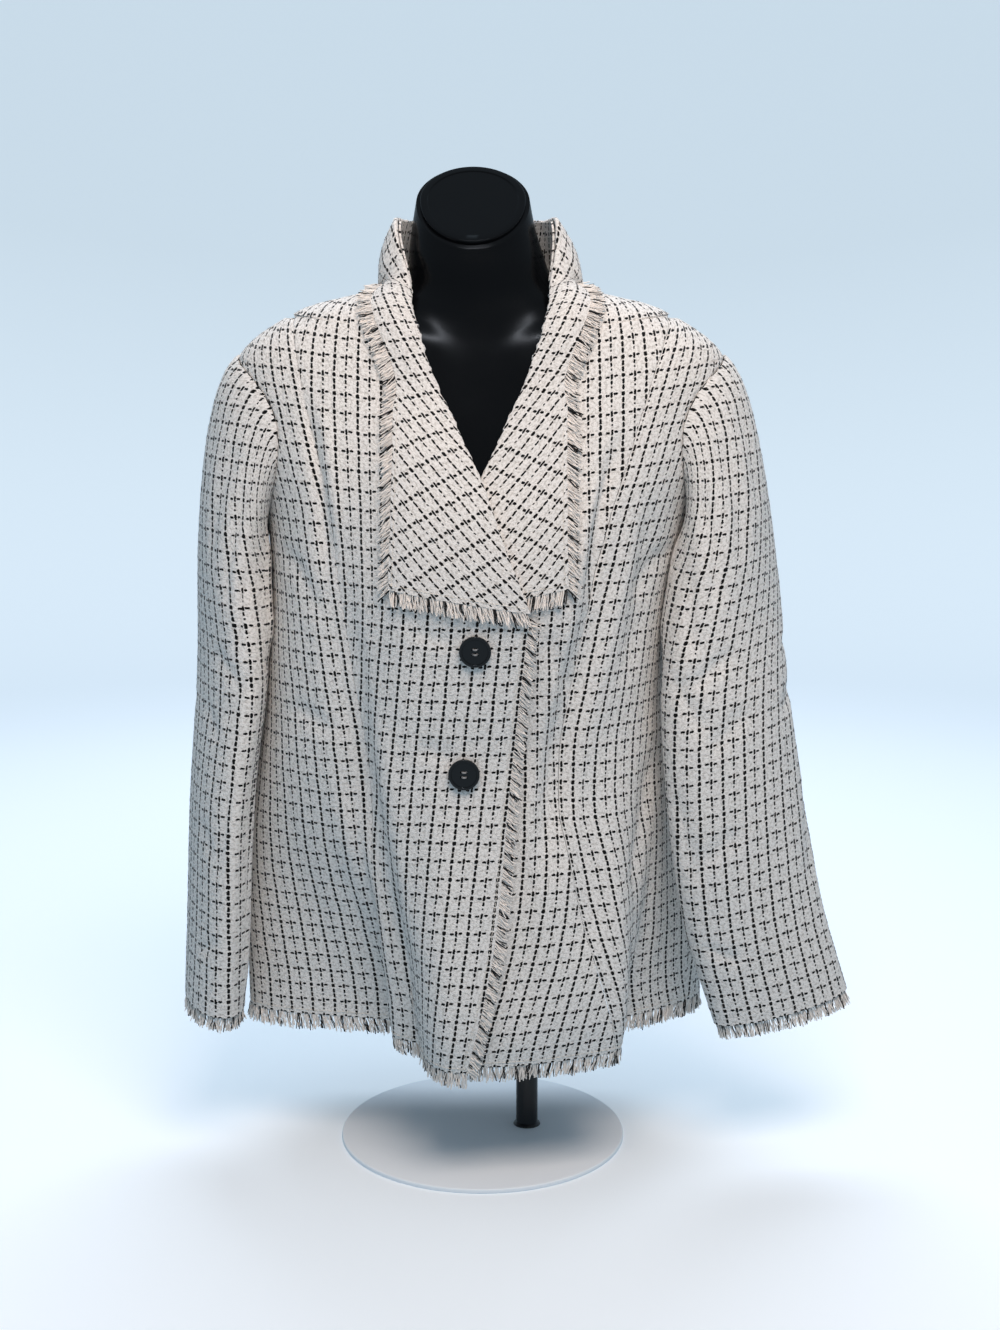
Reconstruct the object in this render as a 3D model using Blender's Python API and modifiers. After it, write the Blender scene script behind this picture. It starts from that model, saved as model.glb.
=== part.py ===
"""Boucle blazer standing on a limbless dress form with a short stand.

Metres, +Z up. The origin is the middle of the stand's base plate, on the floor.
-Y is the front of the blazer and +X is the viewer's right, so "right" pieces
(the wearer's right) lie on the -X side. Every cloth piece is a thin wall taken
from one set of level sections around the body, or from the sleeve sections.
"""

import math

import bmesh
import bpy
import numpy as np
from mathutils import Matrix, Vector

COLLECTION_NAME = "boucle_blazer"

# Cloth sizes
WALL = 0.002                # thickness of the body and sleeve cloth
COLLAR_WALL = 0.003         # two layers of cloth in the turned collar
SEAM_GAP = 0.0003           # pieces stand this far apart at a seam
COLLAR_LIFT = 0.0021        # the collar lies this far above the cloth under it
OVERLAP_LIFT = 0.0098       # the overlapping front is raised this far over the other one
LIFT_STARTS_X = -0.105      # the raising of the overlapping front begins here
LIFT_FULL_X = -0.055        # and is complete here
LIFT_FADES_Z = 0.615        # above this height it fades out again
LIFT_GONE_Z = 0.690

# Level sections of the body, hem to collar fold, in metres.
# z at the front, side and back; half widths to the viewer's left and right;
# depth to the front and the back of the middle line; squareness of the section.
LEVELS = (
    # name            z_front z_side z_back half_left half_right front back square
    ("hem",            0.117, 0.128, 0.124, 0.213, 0.203, 0.075, 0.145, 2.5),
    ("hip",            0.204, 0.212, 0.210, 0.212, 0.199, 0.092, 0.143, 2.4),
    ("high hip",       0.300, 0.304, 0.304, 0.207, 0.178, 0.114, 0.130, 2.3),
    ("waist",          0.395, 0.396, 0.396, 0.194, 0.162, 0.131, 0.116, 2.2),
    ("rib",            0.455, 0.456, 0.456, 0.189, 0.160, 0.140, 0.116, 2.2),
    ("bust",           0.515, 0.518, 0.518, 0.184, 0.165, 0.147, 0.121, 2.2),
    ("chest",          0.575, 0.585, 0.585, 0.188, 0.182, 0.138, 0.126, 2.3),
    ("upper chest",    0.632, 0.655, 0.650, 0.204, 0.203, 0.116, 0.124, 2.5),
    ("shoulder tip",   0.684, 0.711, 0.708, 0.208, 0.208, 0.094, 0.115, 2.6),
    ("mid shoulder",   0.722, 0.749, 0.744, 0.158, 0.158, 0.081, 0.104, 2.4),
    ("inner shoulder", 0.746, 0.763, 0.761, 0.110, 0.110, 0.069, 0.092, 2.2),
    ("neck seam",      0.760, 0.771, 0.773, 0.080, 0.078, 0.060, 0.078, 2.0),
    ("collar stand",   0.792, 0.798, 0.799, 0.073, 0.067, 0.057, 0.077, 2.0),
    ("collar fold",    0.818, 0.825, 0.828, 0.070, 0.061, 0.057, 0.077, 2.0),
)
HEM = 0
UNDERARM = 5.75
SHOULDER_TIP = 8
SHOULDER_PAD_ROWS = (8.40, 8.64, 8.76)
SHOULDER_SEAM_ROW = 8.84            # last row of the side panels, just under the shoulder seam
SHOULDER_SEAM_AT_PRINCESS = 8.9
NECK_SEAM = 11
FRONT_TOP_LEVEL = 12.0              # nothing on the front lies above this level

# Largest folds of the body. A fold is a plateau between two angles (degrees from the
# front, viewer's right is plus) with a soft ramp at each end. It leans by so many degrees
# a level, and runs between two levels. Depth is outward; a minus sign is a hollow.
FOLD_FADE_LEVELS = 3.0      # a fold dies out over this many levels at its upper end
FOLDS = (
    # name                  starts  ends ramp_in ramp_out lean depth  low  high
    ("front flute",          -9.0,  44.0, 26.0, 20.0, -1.0,  0.060, -2.0, 3.1),
    ("hollow by the flute",  72.0,  80.0, 12.0, 18.0, -1.0, -0.040, -2.0, 2.9),
    ("hollow at the right", -71.0, -63.0, 19.0, 20.0,  2.0, -0.050, -2.0, 3.0),
    ("drag under left bust", 15.0,  17.0,  8.0,  8.0,  4.6, -0.010,  1.6, 7.2),
    ("drag under right bust", -38.0, -36.0, 9.0,  9.0, -1.6, -0.006,  1.6, 7.2),
    ("back flute, left",    138.0, 146.0, 18.0, 18.0,  0.0,  0.012, -2.0, 3.0),
    ("back flute, middle",  176.0, 186.0, 16.0, 16.0,  0.0, -0.009, -2.0, 3.0),
    ("back flute, right",   222.0, 230.0, 18.0, 18.0,  0.0,  0.014, -2.0, 3.0),
)

# Front edge of the overlapping front, then its roll line up to the neck: height and x
FRONT_EDGE_Z = (0.100, 0.226, 0.371, 0.487, 0.509, 0.6065, 0.655, 0.705, 0.765, 0.800)
FRONT_EDGE_X = (-0.009, 0.008, 0.024, 0.036, 0.038, 0.001, -0.021, -0.043, -0.062, -0.066)
# Front edge of the front underneath: it lies hidden up to where the roll lines cross
UNDER_EDGE_Z = (0.100, 0.480, 0.509, 0.6065, 0.655, 0.705, 0.765, 0.800)
UNDER_EDGE_X = (-0.040, -0.040, -0.038, -0.001, 0.021, 0.043, 0.062, 0.066)
# Princess seams: height and distance from the middle at the right, left and back
PRINCESS_Z = (0.117, 0.230, 0.330, 0.400, 0.515, 0.590, 0.650, 0.700, 0.738)
PRINCESS_RIGHT = (0.098, 0.094, 0.098, 0.103, 0.119, 0.127, 0.140, 0.150, 0.158)
PRINCESS_LEFT = (0.074, 0.066, 0.064, 0.072, 0.096, 0.111, 0.128, 0.144, 0.158)
PRINCESS_BACK = (0.106, 0.092, 0.080, 0.072, 0.088, 0.104, 0.122, 0.140, 0.158)
ARMHOLE_INSET = math.radians(25.0)      # how far the armhole cuts into the front and back

# Lapel rows from the collar's square end up the chest: roll line x and z, outer edge x and z,
# arch of the cloth between them. Written for the viewer's right; the other side is mirrored.
LAPEL_ROWS = (
    # name          roll_x  roll_z  edge_x edge_z  arch
    ("square end",  -0.037, 0.510, 0.070, 0.527, 0.0010),
    ("low chest",   -0.020, 0.553, 0.0695, 0.572, 0.0012),
    ("roll cross",  -0.001, 0.6065, 0.070, 0.620, 0.0014),
    ("mid chest",    0.021, 0.655, 0.071, 0.665, 0.0018),
    ("high chest",   0.043, 0.705, 0.0735, 0.708, 0.0025),
)
# Collar rows around the neck: angle and level of the fold, angle and level of the outer edge, arch
NECK_ROWS = (
    # name            fold_angle fold_level edge_angle edge_level arch
    ("front of neck",  54.0, 11.0,  74.5, 10.66, 0.006),
    ("side front",     71.0, 12.1,  86.0, 10.68, 0.009),
    ("side",           90.0, 13.0,  98.0, 10.62, 0.009),
    ("side back",     133.0, 13.0, 136.0, 10.20, 0.014),
    ("back",          180.0, 13.0, 180.0,  9.80, 0.017),
)

# Sleeve sections, upper arm to cuff: height, x and y of the middle, half widths across and
# front to back, how far the front is turned in toward the body, slope of the section.
SLEEVE_RIGHT = (
    # name         z      x        y     half_across half_deep turn slope
    ("upper arm", 0.520, -0.2195, -0.008, 0.0270, 0.075, 14.0, 0.00),
    ("elbow",     0.430, -0.2205, -0.016, 0.0255, 0.070, 20.0, 0.02),
    ("forearm",   0.320, -0.2335, -0.018, 0.0220, 0.068, 18.0, 0.04),
    ("low arm",   0.220, -0.2390, -0.018, 0.0220, 0.063, 18.0, 0.06),
    ("cuff",      0.139, -0.2425, -0.018, 0.0240, 0.056, 16.0, 0.08),
)
SLEEVE_LEFT = (
    # name         z      x       y     half_across half_deep turn slope
    ("upper arm", 0.525, 0.2130, -0.023, 0.0370, 0.076, 26.0, 0.02),
    ("elbow",     0.430, 0.2115, -0.042, 0.0390, 0.069, 45.0, 0.06),
    ("forearm",   0.320, 0.2235, -0.049, 0.0350, 0.069, 56.0, 0.10),
    ("low arm",   0.225, 0.2405, -0.048, 0.0300, 0.066, 64.0, 0.14),
    ("cuff",      0.139, 0.2670, -0.042, 0.0250, 0.063, 70.0, 0.16),
)
ARMHOLE_STEPS = 7                           # rows up the armhole; the sleeve's columns meet them
SLEEVE_STEP = math.pi / ARMHOLE_STEPS
SLEEVE_SEAM_FRONT = 5 * SLEEVE_STEP         # the two sleeve seams, measured from the top
SLEEVE_SEAM_BACK = 9 * SLEEVE_STEP
SLEEVE_MEAN_RADIUS = 0.035                  # turns a seam's gap into an angle
CAP_SWELL_OUT = 0.32                        # the padded cap leaves the shoulder seam outward
CAP_LEAVES_OUT = 0.10
CAP_LEAVES_AHEAD = 0.10
CAP_LEAVES_DOWN = 0.25
CAP_SWELL_DOWN = 0.05
CAP_ARRIVES = 1.1                           # and runs straight down into the upper arm
CAP_BLEND = 0.3                             # share of the cap that takes the body's slant

# Around the neck the collar falls free of the cloth under it
FALL_STARTS = 4.8           # collar row where it leaves the chest
FALL_OVER = 1.3
FALL_BULGE = 0.5            # share of the row's arch that is left as a bulge

# Collar stand: it begins where the lapels' roll lines meet the neck seam
STAND_FIRST_ANGLE = math.radians(58.0)
STAND_BOTTOM = NECK_SEAM + 0.03
COLLAR_ROW_LENGTH = 0.05    # turns the seam's gap at the back into a share of a collar row

# Fringe
FRINGE_WALL = 0.0016
FRINGE_GAP = 0.0007         # the backing stands this far from a cloth's edge
COLLAR_FRINGE_GAP = 0.0021  # a little more where the edge bends around the neck
HEM_FRINGE_GAP = 0.0013     # and under the folds of the hem
FRINGE_BACKING = 0.003      # narrow strip that the locks grow from
HEM_FRINGE = 0.0165
CUFF_FRINGE = 0.0165
COLLAR_FRINGE = 0.0150
EDGE_FRINGE = 0.0125
LOCK_PITCH = 0.0138         # distance from one lock to the next
LOCK_SHARE = 0.66           # share of the pitch that a lock's root fills
LOCK_TAPER = 0.62           # width of a lock's tip as a share of its root
LOCK_TIP_INSETS = (0.2, 0.8)    # a lock's tip is thinner than its root
EDGE_FRINGE_TOP = 4.85      # level where the front edge's fringe ends under the collar
EDGE_FRINGE_SLANT = 0.55    # its locks droop toward the hem
FRINGE_STEP_DOWN = 0.0002   # a fringe's face lies this far below the face of its cloth
CUFF_FRINGE_PART = 0.02     # half the parting of a cuff's fringe at the back seam, in radians
END_FRINGE_INSET = 0.01     # share of a collar's end left bare at each corner
BACK_FRINGE_PART = 0.004    # parting of the two collar fringes at the back
HEM_MEAN_RADIUS = 0.15      # turns a seam's gap into an angle at the hem

# Buttons
BUTTON_RADIUS = 0.013
BUTTON_THICK = 0.0042
BUTTON_RIM = 0.0026         # width of the raised rim
BUTTON_DISH = 0.0011        # depth of the dish inside the rim
BUTTON_HOLE_RADIUS = 0.0011
BUTTON_HOLE_SPREAD = 0.0021
BUTTON_FOOT_SHARE = 0.72    # flat share of the button's back
BUTTON_PLACES = (
    # name            x       z      shank: thread between a button and the cloth
    ("button_upper", -0.004, 0.480, 0.0006),
    ("button_lower", -0.013, 0.374, 0.0014),
)

# Dress form sections, bottom edge to the cap's rim: columns as in LEVELS
FORM_LEVELS = (
    ("underside",      0.268, 0.268, 0.268, 0.100, 0.100, 0.066, 0.070, 2.2),
    ("bottom edge",    0.276, 0.276, 0.276, 0.122, 0.122, 0.083, 0.086, 2.2),
    ("hip",            0.315, 0.315, 0.315, 0.132, 0.132, 0.091, 0.092, 2.2),
    ("waist",          0.395, 0.395, 0.395, 0.119, 0.119, 0.088, 0.080, 2.2),
    ("rib",            0.455, 0.455, 0.455, 0.126, 0.126, 0.102, 0.085, 2.2),
    ("bust",           0.515, 0.515, 0.515, 0.139, 0.139, 0.119, 0.092, 2.2),
    ("chest",          0.590, 0.610, 0.600, 0.152, 0.152, 0.110, 0.097, 2.2),
    ("upper chest",    0.645, 0.678, 0.660, 0.162, 0.162, 0.094, 0.094, 2.3),
    ("shoulder end",   0.680, 0.720, 0.705, 0.156, 0.156, 0.081, 0.084, 2.2),
    ("mid shoulder",   0.706, 0.7543, 0.735, 0.130, 0.130, 0.071, 0.075, 2.0),
    ("inner shoulder", 0.727, 0.7612, 0.757, 0.105, 0.105, 0.062, 0.067, 1.8),
    ("shoulder root",  0.744, 0.7664, 0.770, 0.085, 0.085, 0.056, 0.060, 1.8),
    ("neck base",      0.763, 0.7770, 0.786, 0.063, 0.063, 0.051, 0.053, 1.9),
    ("neck",           0.784, 0.8060, 0.820, 0.056, 0.056, 0.050, 0.047, 2.0),
    ("cap rim",        0.8005, 0.8400, 0.8725, 0.0485, 0.0485, 0.046, 0.036, 2.0),
)
NECK_LEAN_X = -0.007        # the neck stands this far to the viewer's left
NECK_LEAN_FROM = 11.3       # from this form section upward
NECK_LEAN_OVER = 2.5
NECK_CUT_FROM = 12.0        # form sections turn into flat slanted cuts from here
NECK_CUT_OVER = 2.0
FORM_COLUMNS = 28
FORM_TOP = 14.0
CAP_THICK = 0.004
CAP_INSET = 0.0035          # the cap's edge stands in from the neck's rim
CAP_ROUND = 0.0012

# Stand
POLE_RADIUS = 0.010
POLE_X = 0.041
POLE_Y = 0.010
BASE_RADIUS = 0.130
BASE_THICK = 0.004
BASE_ROUND = 0.0015

MATERIAL_COLOURS = {
    "boucle_cloth": (0.76, 0.72, 0.66, 1.0, 0.95),
    "fringe_yarn": (0.66, 0.62, 0.60, 1.0, 0.95),
    "black_button": (0.010, 0.010, 0.012, 1.0, 0.18),
    "black_form": (0.014, 0.015, 0.017, 1.0, 0.16),
    "stand_lacquer": (0.012, 0.012, 0.014, 1.0, 0.30),
    "base_lacquer": (0.72, 0.80, 0.88, 1.0, 0.45),
}


def clear_scene():
    for old in list(bpy.data.objects):
        bpy.data.objects.remove(old, do_unlink=True)


def part_collection():
    collection = bpy.data.collections.new(COLLECTION_NAME)
    bpy.context.scene.collection.children.link(collection)
    return collection


def part_material(name):
    red, green, blue, alpha, roughness = MATERIAL_COLOURS[name]
    material = bpy.data.materials.get(name) or bpy.data.materials.new(name)
    material.use_nodes = True
    shader = material.node_tree.nodes["Principled BSDF"]
    shader.inputs["Base Color"].default_value = (red, green, blue, alpha)
    shader.inputs["Roughness"].default_value = roughness
    return material


def add_object(name, mesh, material_name, collection):
    mesh.materials.clear()
    mesh.materials.append(part_material(material_name))
    made = bpy.data.objects.new(name, mesh)
    collection.objects.link(made)
    return made


def closed_mesh(name, points, faces):
    """One mesh from points and faces, with all faces turned outward."""
    mesh = bpy.data.meshes.new(name)
    mesh.from_pydata([tuple(map(float, point)) for point in points], [], faces)
    shell = bmesh.new()
    shell.from_mesh(mesh)
    bmesh.ops.recalc_face_normals(shell, faces=shell.faces)
    shell.to_mesh(mesh)
    shell.free()
    return mesh


def soft_step(share):
    share = min(max(share, 0.0), 1.0)
    return share * share * (3.0 - 2.0 * share)


def through_rows(rows, place):
    """Smooth curve through the rows of a table; it runs on straight past either end."""
    last = len(rows) - 1
    first = min(max(int(math.floor(place)), 0), last - 1)
    share = place - first
    before = rows[max(first - 1, 0)]
    start = rows[first]
    end = rows[first + 1]
    after = rows[min(first + 2, last)]
    start_slope = (end - before) * (0.5 if first > 0 else 1.0)
    end_slope = (after - start) * (0.5 if first + 1 < last else 1.0)
    if share < 0.0:
        return start + start_slope * share
    if share > 1.0:
        return end + end_slope * (share - 1.0)
    square = share * share
    cube = square * share
    return (start * (2 * cube - 3 * square + 1) + start_slope * (cube - 2 * square + share)
            + end * (3 * square - 2 * cube) + end_slope * (cube - square))


def number_rows(table):
    return np.array([row[1:] for row in table], dtype=float)


LEVEL_ROWS = number_rows(LEVELS)
FORM_ROWS = number_rows(FORM_LEVELS)


def section_point(rows, angle, level):
    """Point of a level section: angle from the front, viewer's right is plus."""
    z_front, z_side, z_back, half_left, half_right, front, back, square = through_rows(rows, level)
    sine = math.sin(angle)
    cosine = math.cos(angle)
    half = half_right if sine > 0.0 else half_left
    depth = front if cosine > 0.0 else back
    reach = ((abs(sine) / half) ** square + (abs(cosine) / depth) ** square) ** (-1.0 / square)
    z_end = z_front if cosine > 0.0 else z_back
    height = z_side * sine * sine + z_end * cosine * cosine
    return np.array((reach * sine, -reach * cosine, height))


def fold_depth(angle, level):
    """How far the largest folds push the cloth out at this place."""
    degrees = math.degrees(angle)
    total = 0.0
    for _, starts, ends, ramp_in, ramp_out, lean, depth, low, high in FOLDS:
        middle = 0.5 * (starts + ends) + lean * level
        turned = (degrees - middle + 180.0) % 360.0 - 180.0
        half_plateau = 0.5 * (ends - starts)
        rise = soft_step(1.0 + (turned + half_plateau) / ramp_in)
        fall = soft_step(1.0 - (turned - half_plateau) / ramp_out)
        lower_end = soft_step(level - low)
        upper_end = soft_step((high - level) / min(high - low, FOLD_FADE_LEVELS))
        total += depth * rise * fall * lower_end * upper_end
    return total


def body_point(angle, level):
    outward = np.array((math.sin(angle), -math.cos(angle), 0.0))
    return section_point(LEVEL_ROWS, angle, level) + fold_depth(angle, level) * outward


def body_normal(angle, level):
    small_turn = 0.012
    small_rise = 0.03
    across = body_point(angle + small_turn, level) - body_point(angle - small_turn, level)
    upward = body_point(angle, level + small_rise) - body_point(angle, level - small_rise)
    normal = np.cross(across, upward)
    return normal / np.linalg.norm(normal)


def on_body(angle, level, lift):
    """A point of the body's cloth, moved out along the cloth's normal."""
    return body_point(angle, level) + lift * body_normal(angle, level)


def halving(test, low, high):
    """The place between low and high where the test value turns from minus to plus."""
    for _ in range(32):
        middle = 0.5 * (low + high)
        if test(middle) > 0.0:
            high = middle
        else:
            low = middle
    return 0.5 * (low + high)


def angle_on_line(level, line_z, line_x):
    """Angle at which a line drawn on the front (x by height) meets a level."""
    def beyond(angle):
        x, _, z = section_point(LEVEL_ROWS, angle, level)
        return x - np.interp(z, line_z, line_x)
    return halving(beyond, -0.5 * math.pi, 0.5 * math.pi)


def place_on_front(x, z):
    """Angle and level of a point on the front given by x and height."""
    level = 0.5 * FRONT_TOP_LEVEL
    angle = 0.0
    for _ in range(8):
        angle = halving(lambda turn: section_point(LEVEL_ROWS, turn, level)[0] - x,
                        -0.5 * math.pi, 0.5 * math.pi)
        level = halving(lambda rise: section_point(LEVEL_ROWS, angle, rise)[2] - z, 0.0, FRONT_TOP_LEVEL)
    return angle, level


def overlap_lift(angle, level):
    """Height of the overlapping front above the plain body at this place."""
    x, _, z = section_point(LEVEL_ROWS, angle, level)
    across = soft_step((x - LIFT_STARTS_X) / (LIFT_FULL_X - LIFT_STARTS_X))
    fading = soft_step((LIFT_GONE_Z - z) / (LIFT_GONE_Z - LIFT_FADES_Z))
    return OVERLAP_LIFT * across * fading


def wall_mesh(name, outer, inner):
    """Closed thin wall between two grids of points with the same rows and columns.

    Both faces are split along the same, shorter diagonals, so that they never cross each other.
    """
    rows, columns = outer.shape[:2]
    points = np.concatenate((outer.reshape(-1, 3), inner.reshape(-1, 3)))
    count = rows * columns
    faces = []
    for row in range(rows - 1):
        for column in range(columns - 1):
            near = row * columns + column
            corners = (near, near + 1, near + columns + 1, near + columns)
            rising = np.linalg.norm(points[corners[2]] - points[corners[0]])
            falling = np.linalg.norm(points[corners[3]] - points[corners[1]])
            first = 0 if rising <= falling else 1
            around = corners[first:] + corners[:first]
            for half in ((around[0], around[1], around[2]), (around[0], around[2], around[3])):
                faces.append(half)
                faces.append(tuple(index + count for index in reversed(half)))
    rim = list(range(columns))
    rim += [row * columns + columns - 1 for row in range(1, rows)]
    rim += [(rows - 1) * columns + column for column in range(columns - 2, -1, -1)]
    rim += [row * columns for row in range(rows - 2, 0, -1)]
    for here, there in zip(rim, rim[1:] + rim[:1]):
        faces.append((here, there, there + count, here + count))
    return closed_mesh(name, points, faces)


def arc_per_turn(angle, level):
    """Length of cloth along a level for a turn of one radian."""
    step = 0.01
    return np.linalg.norm(body_point(angle + step, level) - body_point(angle - step, level)) / (2 * step)


def body_panel(name, levels, left_edge, right_edge, columns, lift, collection):
    """A body panel between two seam lines, half a seam gap in from each of them."""
    outer = np.zeros((len(levels), columns, 3))
    inner = np.zeros((len(levels), columns, 3))
    for row, level in enumerate(levels):
        left = left_edge(level)
        right = right_edge(level)
        arc = arc_per_turn(0.5 * (left + right), level)
        left += 0.5 * SEAM_GAP / arc
        right -= 0.5 * SEAM_GAP / arc
        for column in range(columns):
            angle = left + (right - left) * column / (columns - 1)
            raised = lift(angle, level)
            outer[row, column] = on_body(angle, level, raised)
            inner[row, column] = on_body(angle, level, raised - WALL)
    add_object(name, wall_mesh(name, outer, inner), "boucle_cloth", collection)


def no_lift(angle, level):
    return 0.0


def armhole_angle(level):
    """Angle between the front and the edge of the side: the armhole cuts it back."""
    share = min(max((level - UNDERARM) / (SHOULDER_TIP - UNDERARM), 0.0), 1.0)
    return 0.5 * math.pi - ARMHOLE_INSET * math.sqrt(math.sin(math.pi * share))


def princess_angle(level, distances, side):
    """Angle of a front princess seam on one side; past the shoulder seam it stays on that seam."""
    if level >= SHOULDER_SEAM_AT_PRINCESS:
        return side * 0.5 * math.pi
    return angle_on_line(level, PRINCESS_Z, [side * distance for distance in distances])


def back_princess_angle(level):
    """Angle of the back princess seam from the back's middle, on either side."""
    if level >= SHOULDER_SEAM_AT_PRINCESS:
        return 0.5 * math.pi

    def beyond(turn):
        x, _, z = section_point(LEVEL_ROWS, math.pi - turn, level)
        return x - np.interp(z, PRINCESS_Z, PRINCESS_BACK)
    return halving(beyond, 0.0, 0.5 * math.pi)


def spread(*stretches):
    """Levels from (start, end, steps) stretches laid end to end."""
    levels = [stretches[0][0]]
    for start, end, steps in stretches:
        levels += [start + (end - start) * step / steps for step in range(1, steps + 1)]
    return levels


def armhole_levels(steps):
    """Levels up the armhole, closer together where its edge turns."""
    height = SHOULDER_TIP - UNDERARM
    shares = [0.5 * (1.0 - math.cos(math.pi * step / steps)) for step in range(1, steps + 1)]
    return [UNDERARM + height * share for share in shares]


def build_body(collection):
    side_levels = spread((HEM, UNDERARM, 9)) + armhole_levels(ARMHOLE_STEPS)
    side_levels += [*SHOULDER_PAD_ROWS, SHOULDER_SEAM_ROW]
    centre_levels = side_levels + spread((SHOULDER_SEAM_AT_PRINCESS, NECK_SEAM, 3))
    body_panel("front_centre_right", centre_levels,
               lambda level: princess_angle(level, PRINCESS_RIGHT, -1.0),
               lambda level: angle_on_line(level, FRONT_EDGE_Z, FRONT_EDGE_X),
               10, overlap_lift, collection)
    body_panel("front_centre_left", centre_levels,
               lambda level: angle_on_line(level, UNDER_EDGE_Z, UNDER_EDGE_X),
               lambda level: princess_angle(level, PRINCESS_LEFT, 1.0),
               8, no_lift, collection)
    body_panel("front_side_right", side_levels,
               lambda level: -armhole_angle(level),
               lambda level: princess_angle(level, PRINCESS_RIGHT, -1.0),
               7, overlap_lift, collection)
    body_panel("front_side_left", side_levels,
               lambda level: princess_angle(level, PRINCESS_LEFT, 1.0),
               armhole_angle,
               9, no_lift, collection)
    body_panel("back_centre_left", centre_levels,
               lambda level: math.pi - back_princess_angle(level),
               lambda level: math.pi, 6, no_lift, collection)
    body_panel("back_centre_right", centre_levels,
               lambda level: math.pi,
               lambda level: math.pi + back_princess_angle(level), 6, no_lift, collection)
    body_panel("back_side_left", side_levels,
               lambda level: math.pi - armhole_angle(level),
               lambda level: math.pi - back_princess_angle(level), 6, no_lift, collection)
    body_panel("back_side_right", side_levels,
               lambda level: math.pi + back_princess_angle(level),
               lambda level: math.pi + armhole_angle(level), 6, no_lift, collection)


def armhole_place(side, turn):
    """Angle and level on the body of the armhole edge: turn from its top over the front."""
    share = 0.5 * (1.0 + math.cos(turn))
    level = UNDERARM + (SHOULDER_TIP - UNDERARM) * share
    cut = ARMHOLE_INSET * math.sqrt(max(math.sin(math.pi * share), 0.0))
    from_front = 0.5 * math.pi - cut if math.sin(turn) >= 0.0 else 0.5 * math.pi + cut
    return side * from_front, level


def sleeve_ring(rows, side, turn, place):
    z, x, y, half_across, half_deep, front_turn, slope = through_rows(rows, place)
    inward = math.radians(front_turn)
    out = half_across * math.cos(turn)
    ahead = half_deep * math.sin(turn)
    outward = out * math.cos(inward) - ahead * math.sin(inward)
    forward = ahead * math.cos(inward) + out * math.sin(inward)
    return np.array((x + side * outward, y - forward, z + slope * outward))


def sleeve_point(rows, side, turn, place):
    """Sleeve surface: place 0 is the armhole, 1 the upper arm, then one more a section."""
    if place >= 1.0:
        return sleeve_ring(rows, side, turn, place - 1.0)
    start = body_point(*armhole_place(side, turn)) + np.array((side * SEAM_GAP, 0.0, 0.0))
    end = sleeve_ring(rows, side, turn, 0.0)
    length = np.linalg.norm(end - start)
    upness = 0.5 * (1.0 + math.cos(turn))
    out = CAP_LEAVES_OUT + CAP_SWELL_OUT * upness
    ahead = CAP_LEAVES_AHEAD * math.sin(turn)
    down = CAP_LEAVES_DOWN + CAP_SWELL_DOWN * upness
    leaving = length * np.array((side * out, -ahead, -down))
    run = sleeve_ring(rows, side, turn, 0.2) - sleeve_ring(rows, side, turn, -0.2)
    arriving = CAP_ARRIVES * length * run / np.linalg.norm(run)
    square = place * place
    cube = square * place
    return (start * (2 * cube - 3 * square + 1) + leaving * (cube - 2 * square + place)
            + end * (3 * square - 2 * cube) + arriving * (cube - square))


def sleeve_normal(rows, side, turn, place):
    small_turn = 0.03
    small_step = 0.02
    low_place = max(place - small_step, 0.0)
    around = (sleeve_point(rows, side, turn + small_turn, place)
              - sleeve_point(rows, side, turn - small_turn, place))
    along = (sleeve_point(rows, side, turn, place + small_step)
             - sleeve_point(rows, side, turn, low_place))
    normal = side * np.cross(around, along)
    return normal / np.linalg.norm(normal)


def on_sleeve(rows, side, turn, place, lift):
    """A point of the sleeve's cloth moved out; at the armhole's top it follows the body's cloth."""
    normal = sleeve_normal(rows, side, turn, place)
    if place < CAP_BLEND:
        body = body_normal(*armhole_place(side, turn))
        share = soft_step(0.5 + 1.2 * math.cos(turn)) * (1.0 - soft_step(place / CAP_BLEND))
        normal = normal * (1.0 - share) + body * share
        normal = normal / np.linalg.norm(normal)
    return sleeve_point(rows, side, turn, place) + lift * normal


def sleeve_panel(name, rows, side, first_turn, last_turn, columns, places, collection):
    outer = np.zeros((len(places), columns, 3))
    inner = np.zeros((len(places), columns, 3))
    half_gap = 0.5 * SEAM_GAP / SLEEVE_MEAN_RADIUS
    for row, place in enumerate(places):
        for column in range(columns):
            share = column / (columns - 1)
            turn = first_turn + half_gap + (last_turn - first_turn - 2 * half_gap) * share
            outer[row, column] = on_sleeve(rows, side, turn, place, 0.0)
            inner[row, column] = on_sleeve(rows, side, turn, place, -WALL)
    add_object(name, wall_mesh(name, outer, inner), "boucle_cloth", collection)


def build_sleeves(collection):
    places = spread((0.0, 1.0, 5), (1.0, len(SLEEVE_RIGHT), 7))
    for label, side, table in (("right", -1.0, SLEEVE_RIGHT), ("left", 1.0, SLEEVE_LEFT)):
        rows = number_rows(table)
        over_the_top = SLEEVE_SEAM_BACK - 2 * math.pi
        sleeve_panel("sleeve_upper_" + label, rows, side, over_the_top, SLEEVE_SEAM_FRONT, 11, places,
                     collection)
        sleeve_panel("sleeve_under_" + label, rows, side, SLEEVE_SEAM_FRONT, SLEEVE_SEAM_BACK, 5, places,
                     collection)


def collar_rows():
    """Angle and level of fold and outer edge, and the arch, from the square end to the back."""
    rows = []
    for _, roll_x, roll_z, edge_x, edge_z, arch in LAPEL_ROWS:
        roll = place_on_front(roll_x, roll_z)
        edge = place_on_front(edge_x, edge_z)
        rows.append((*roll, *edge, arch))
    for _, roll_angle, roll_level, edge_angle, edge_level, arch in NECK_ROWS:
        rows.append((math.radians(roll_angle), roll_level, math.radians(edge_angle), edge_level, arch))
    return np.array(rows)


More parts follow.
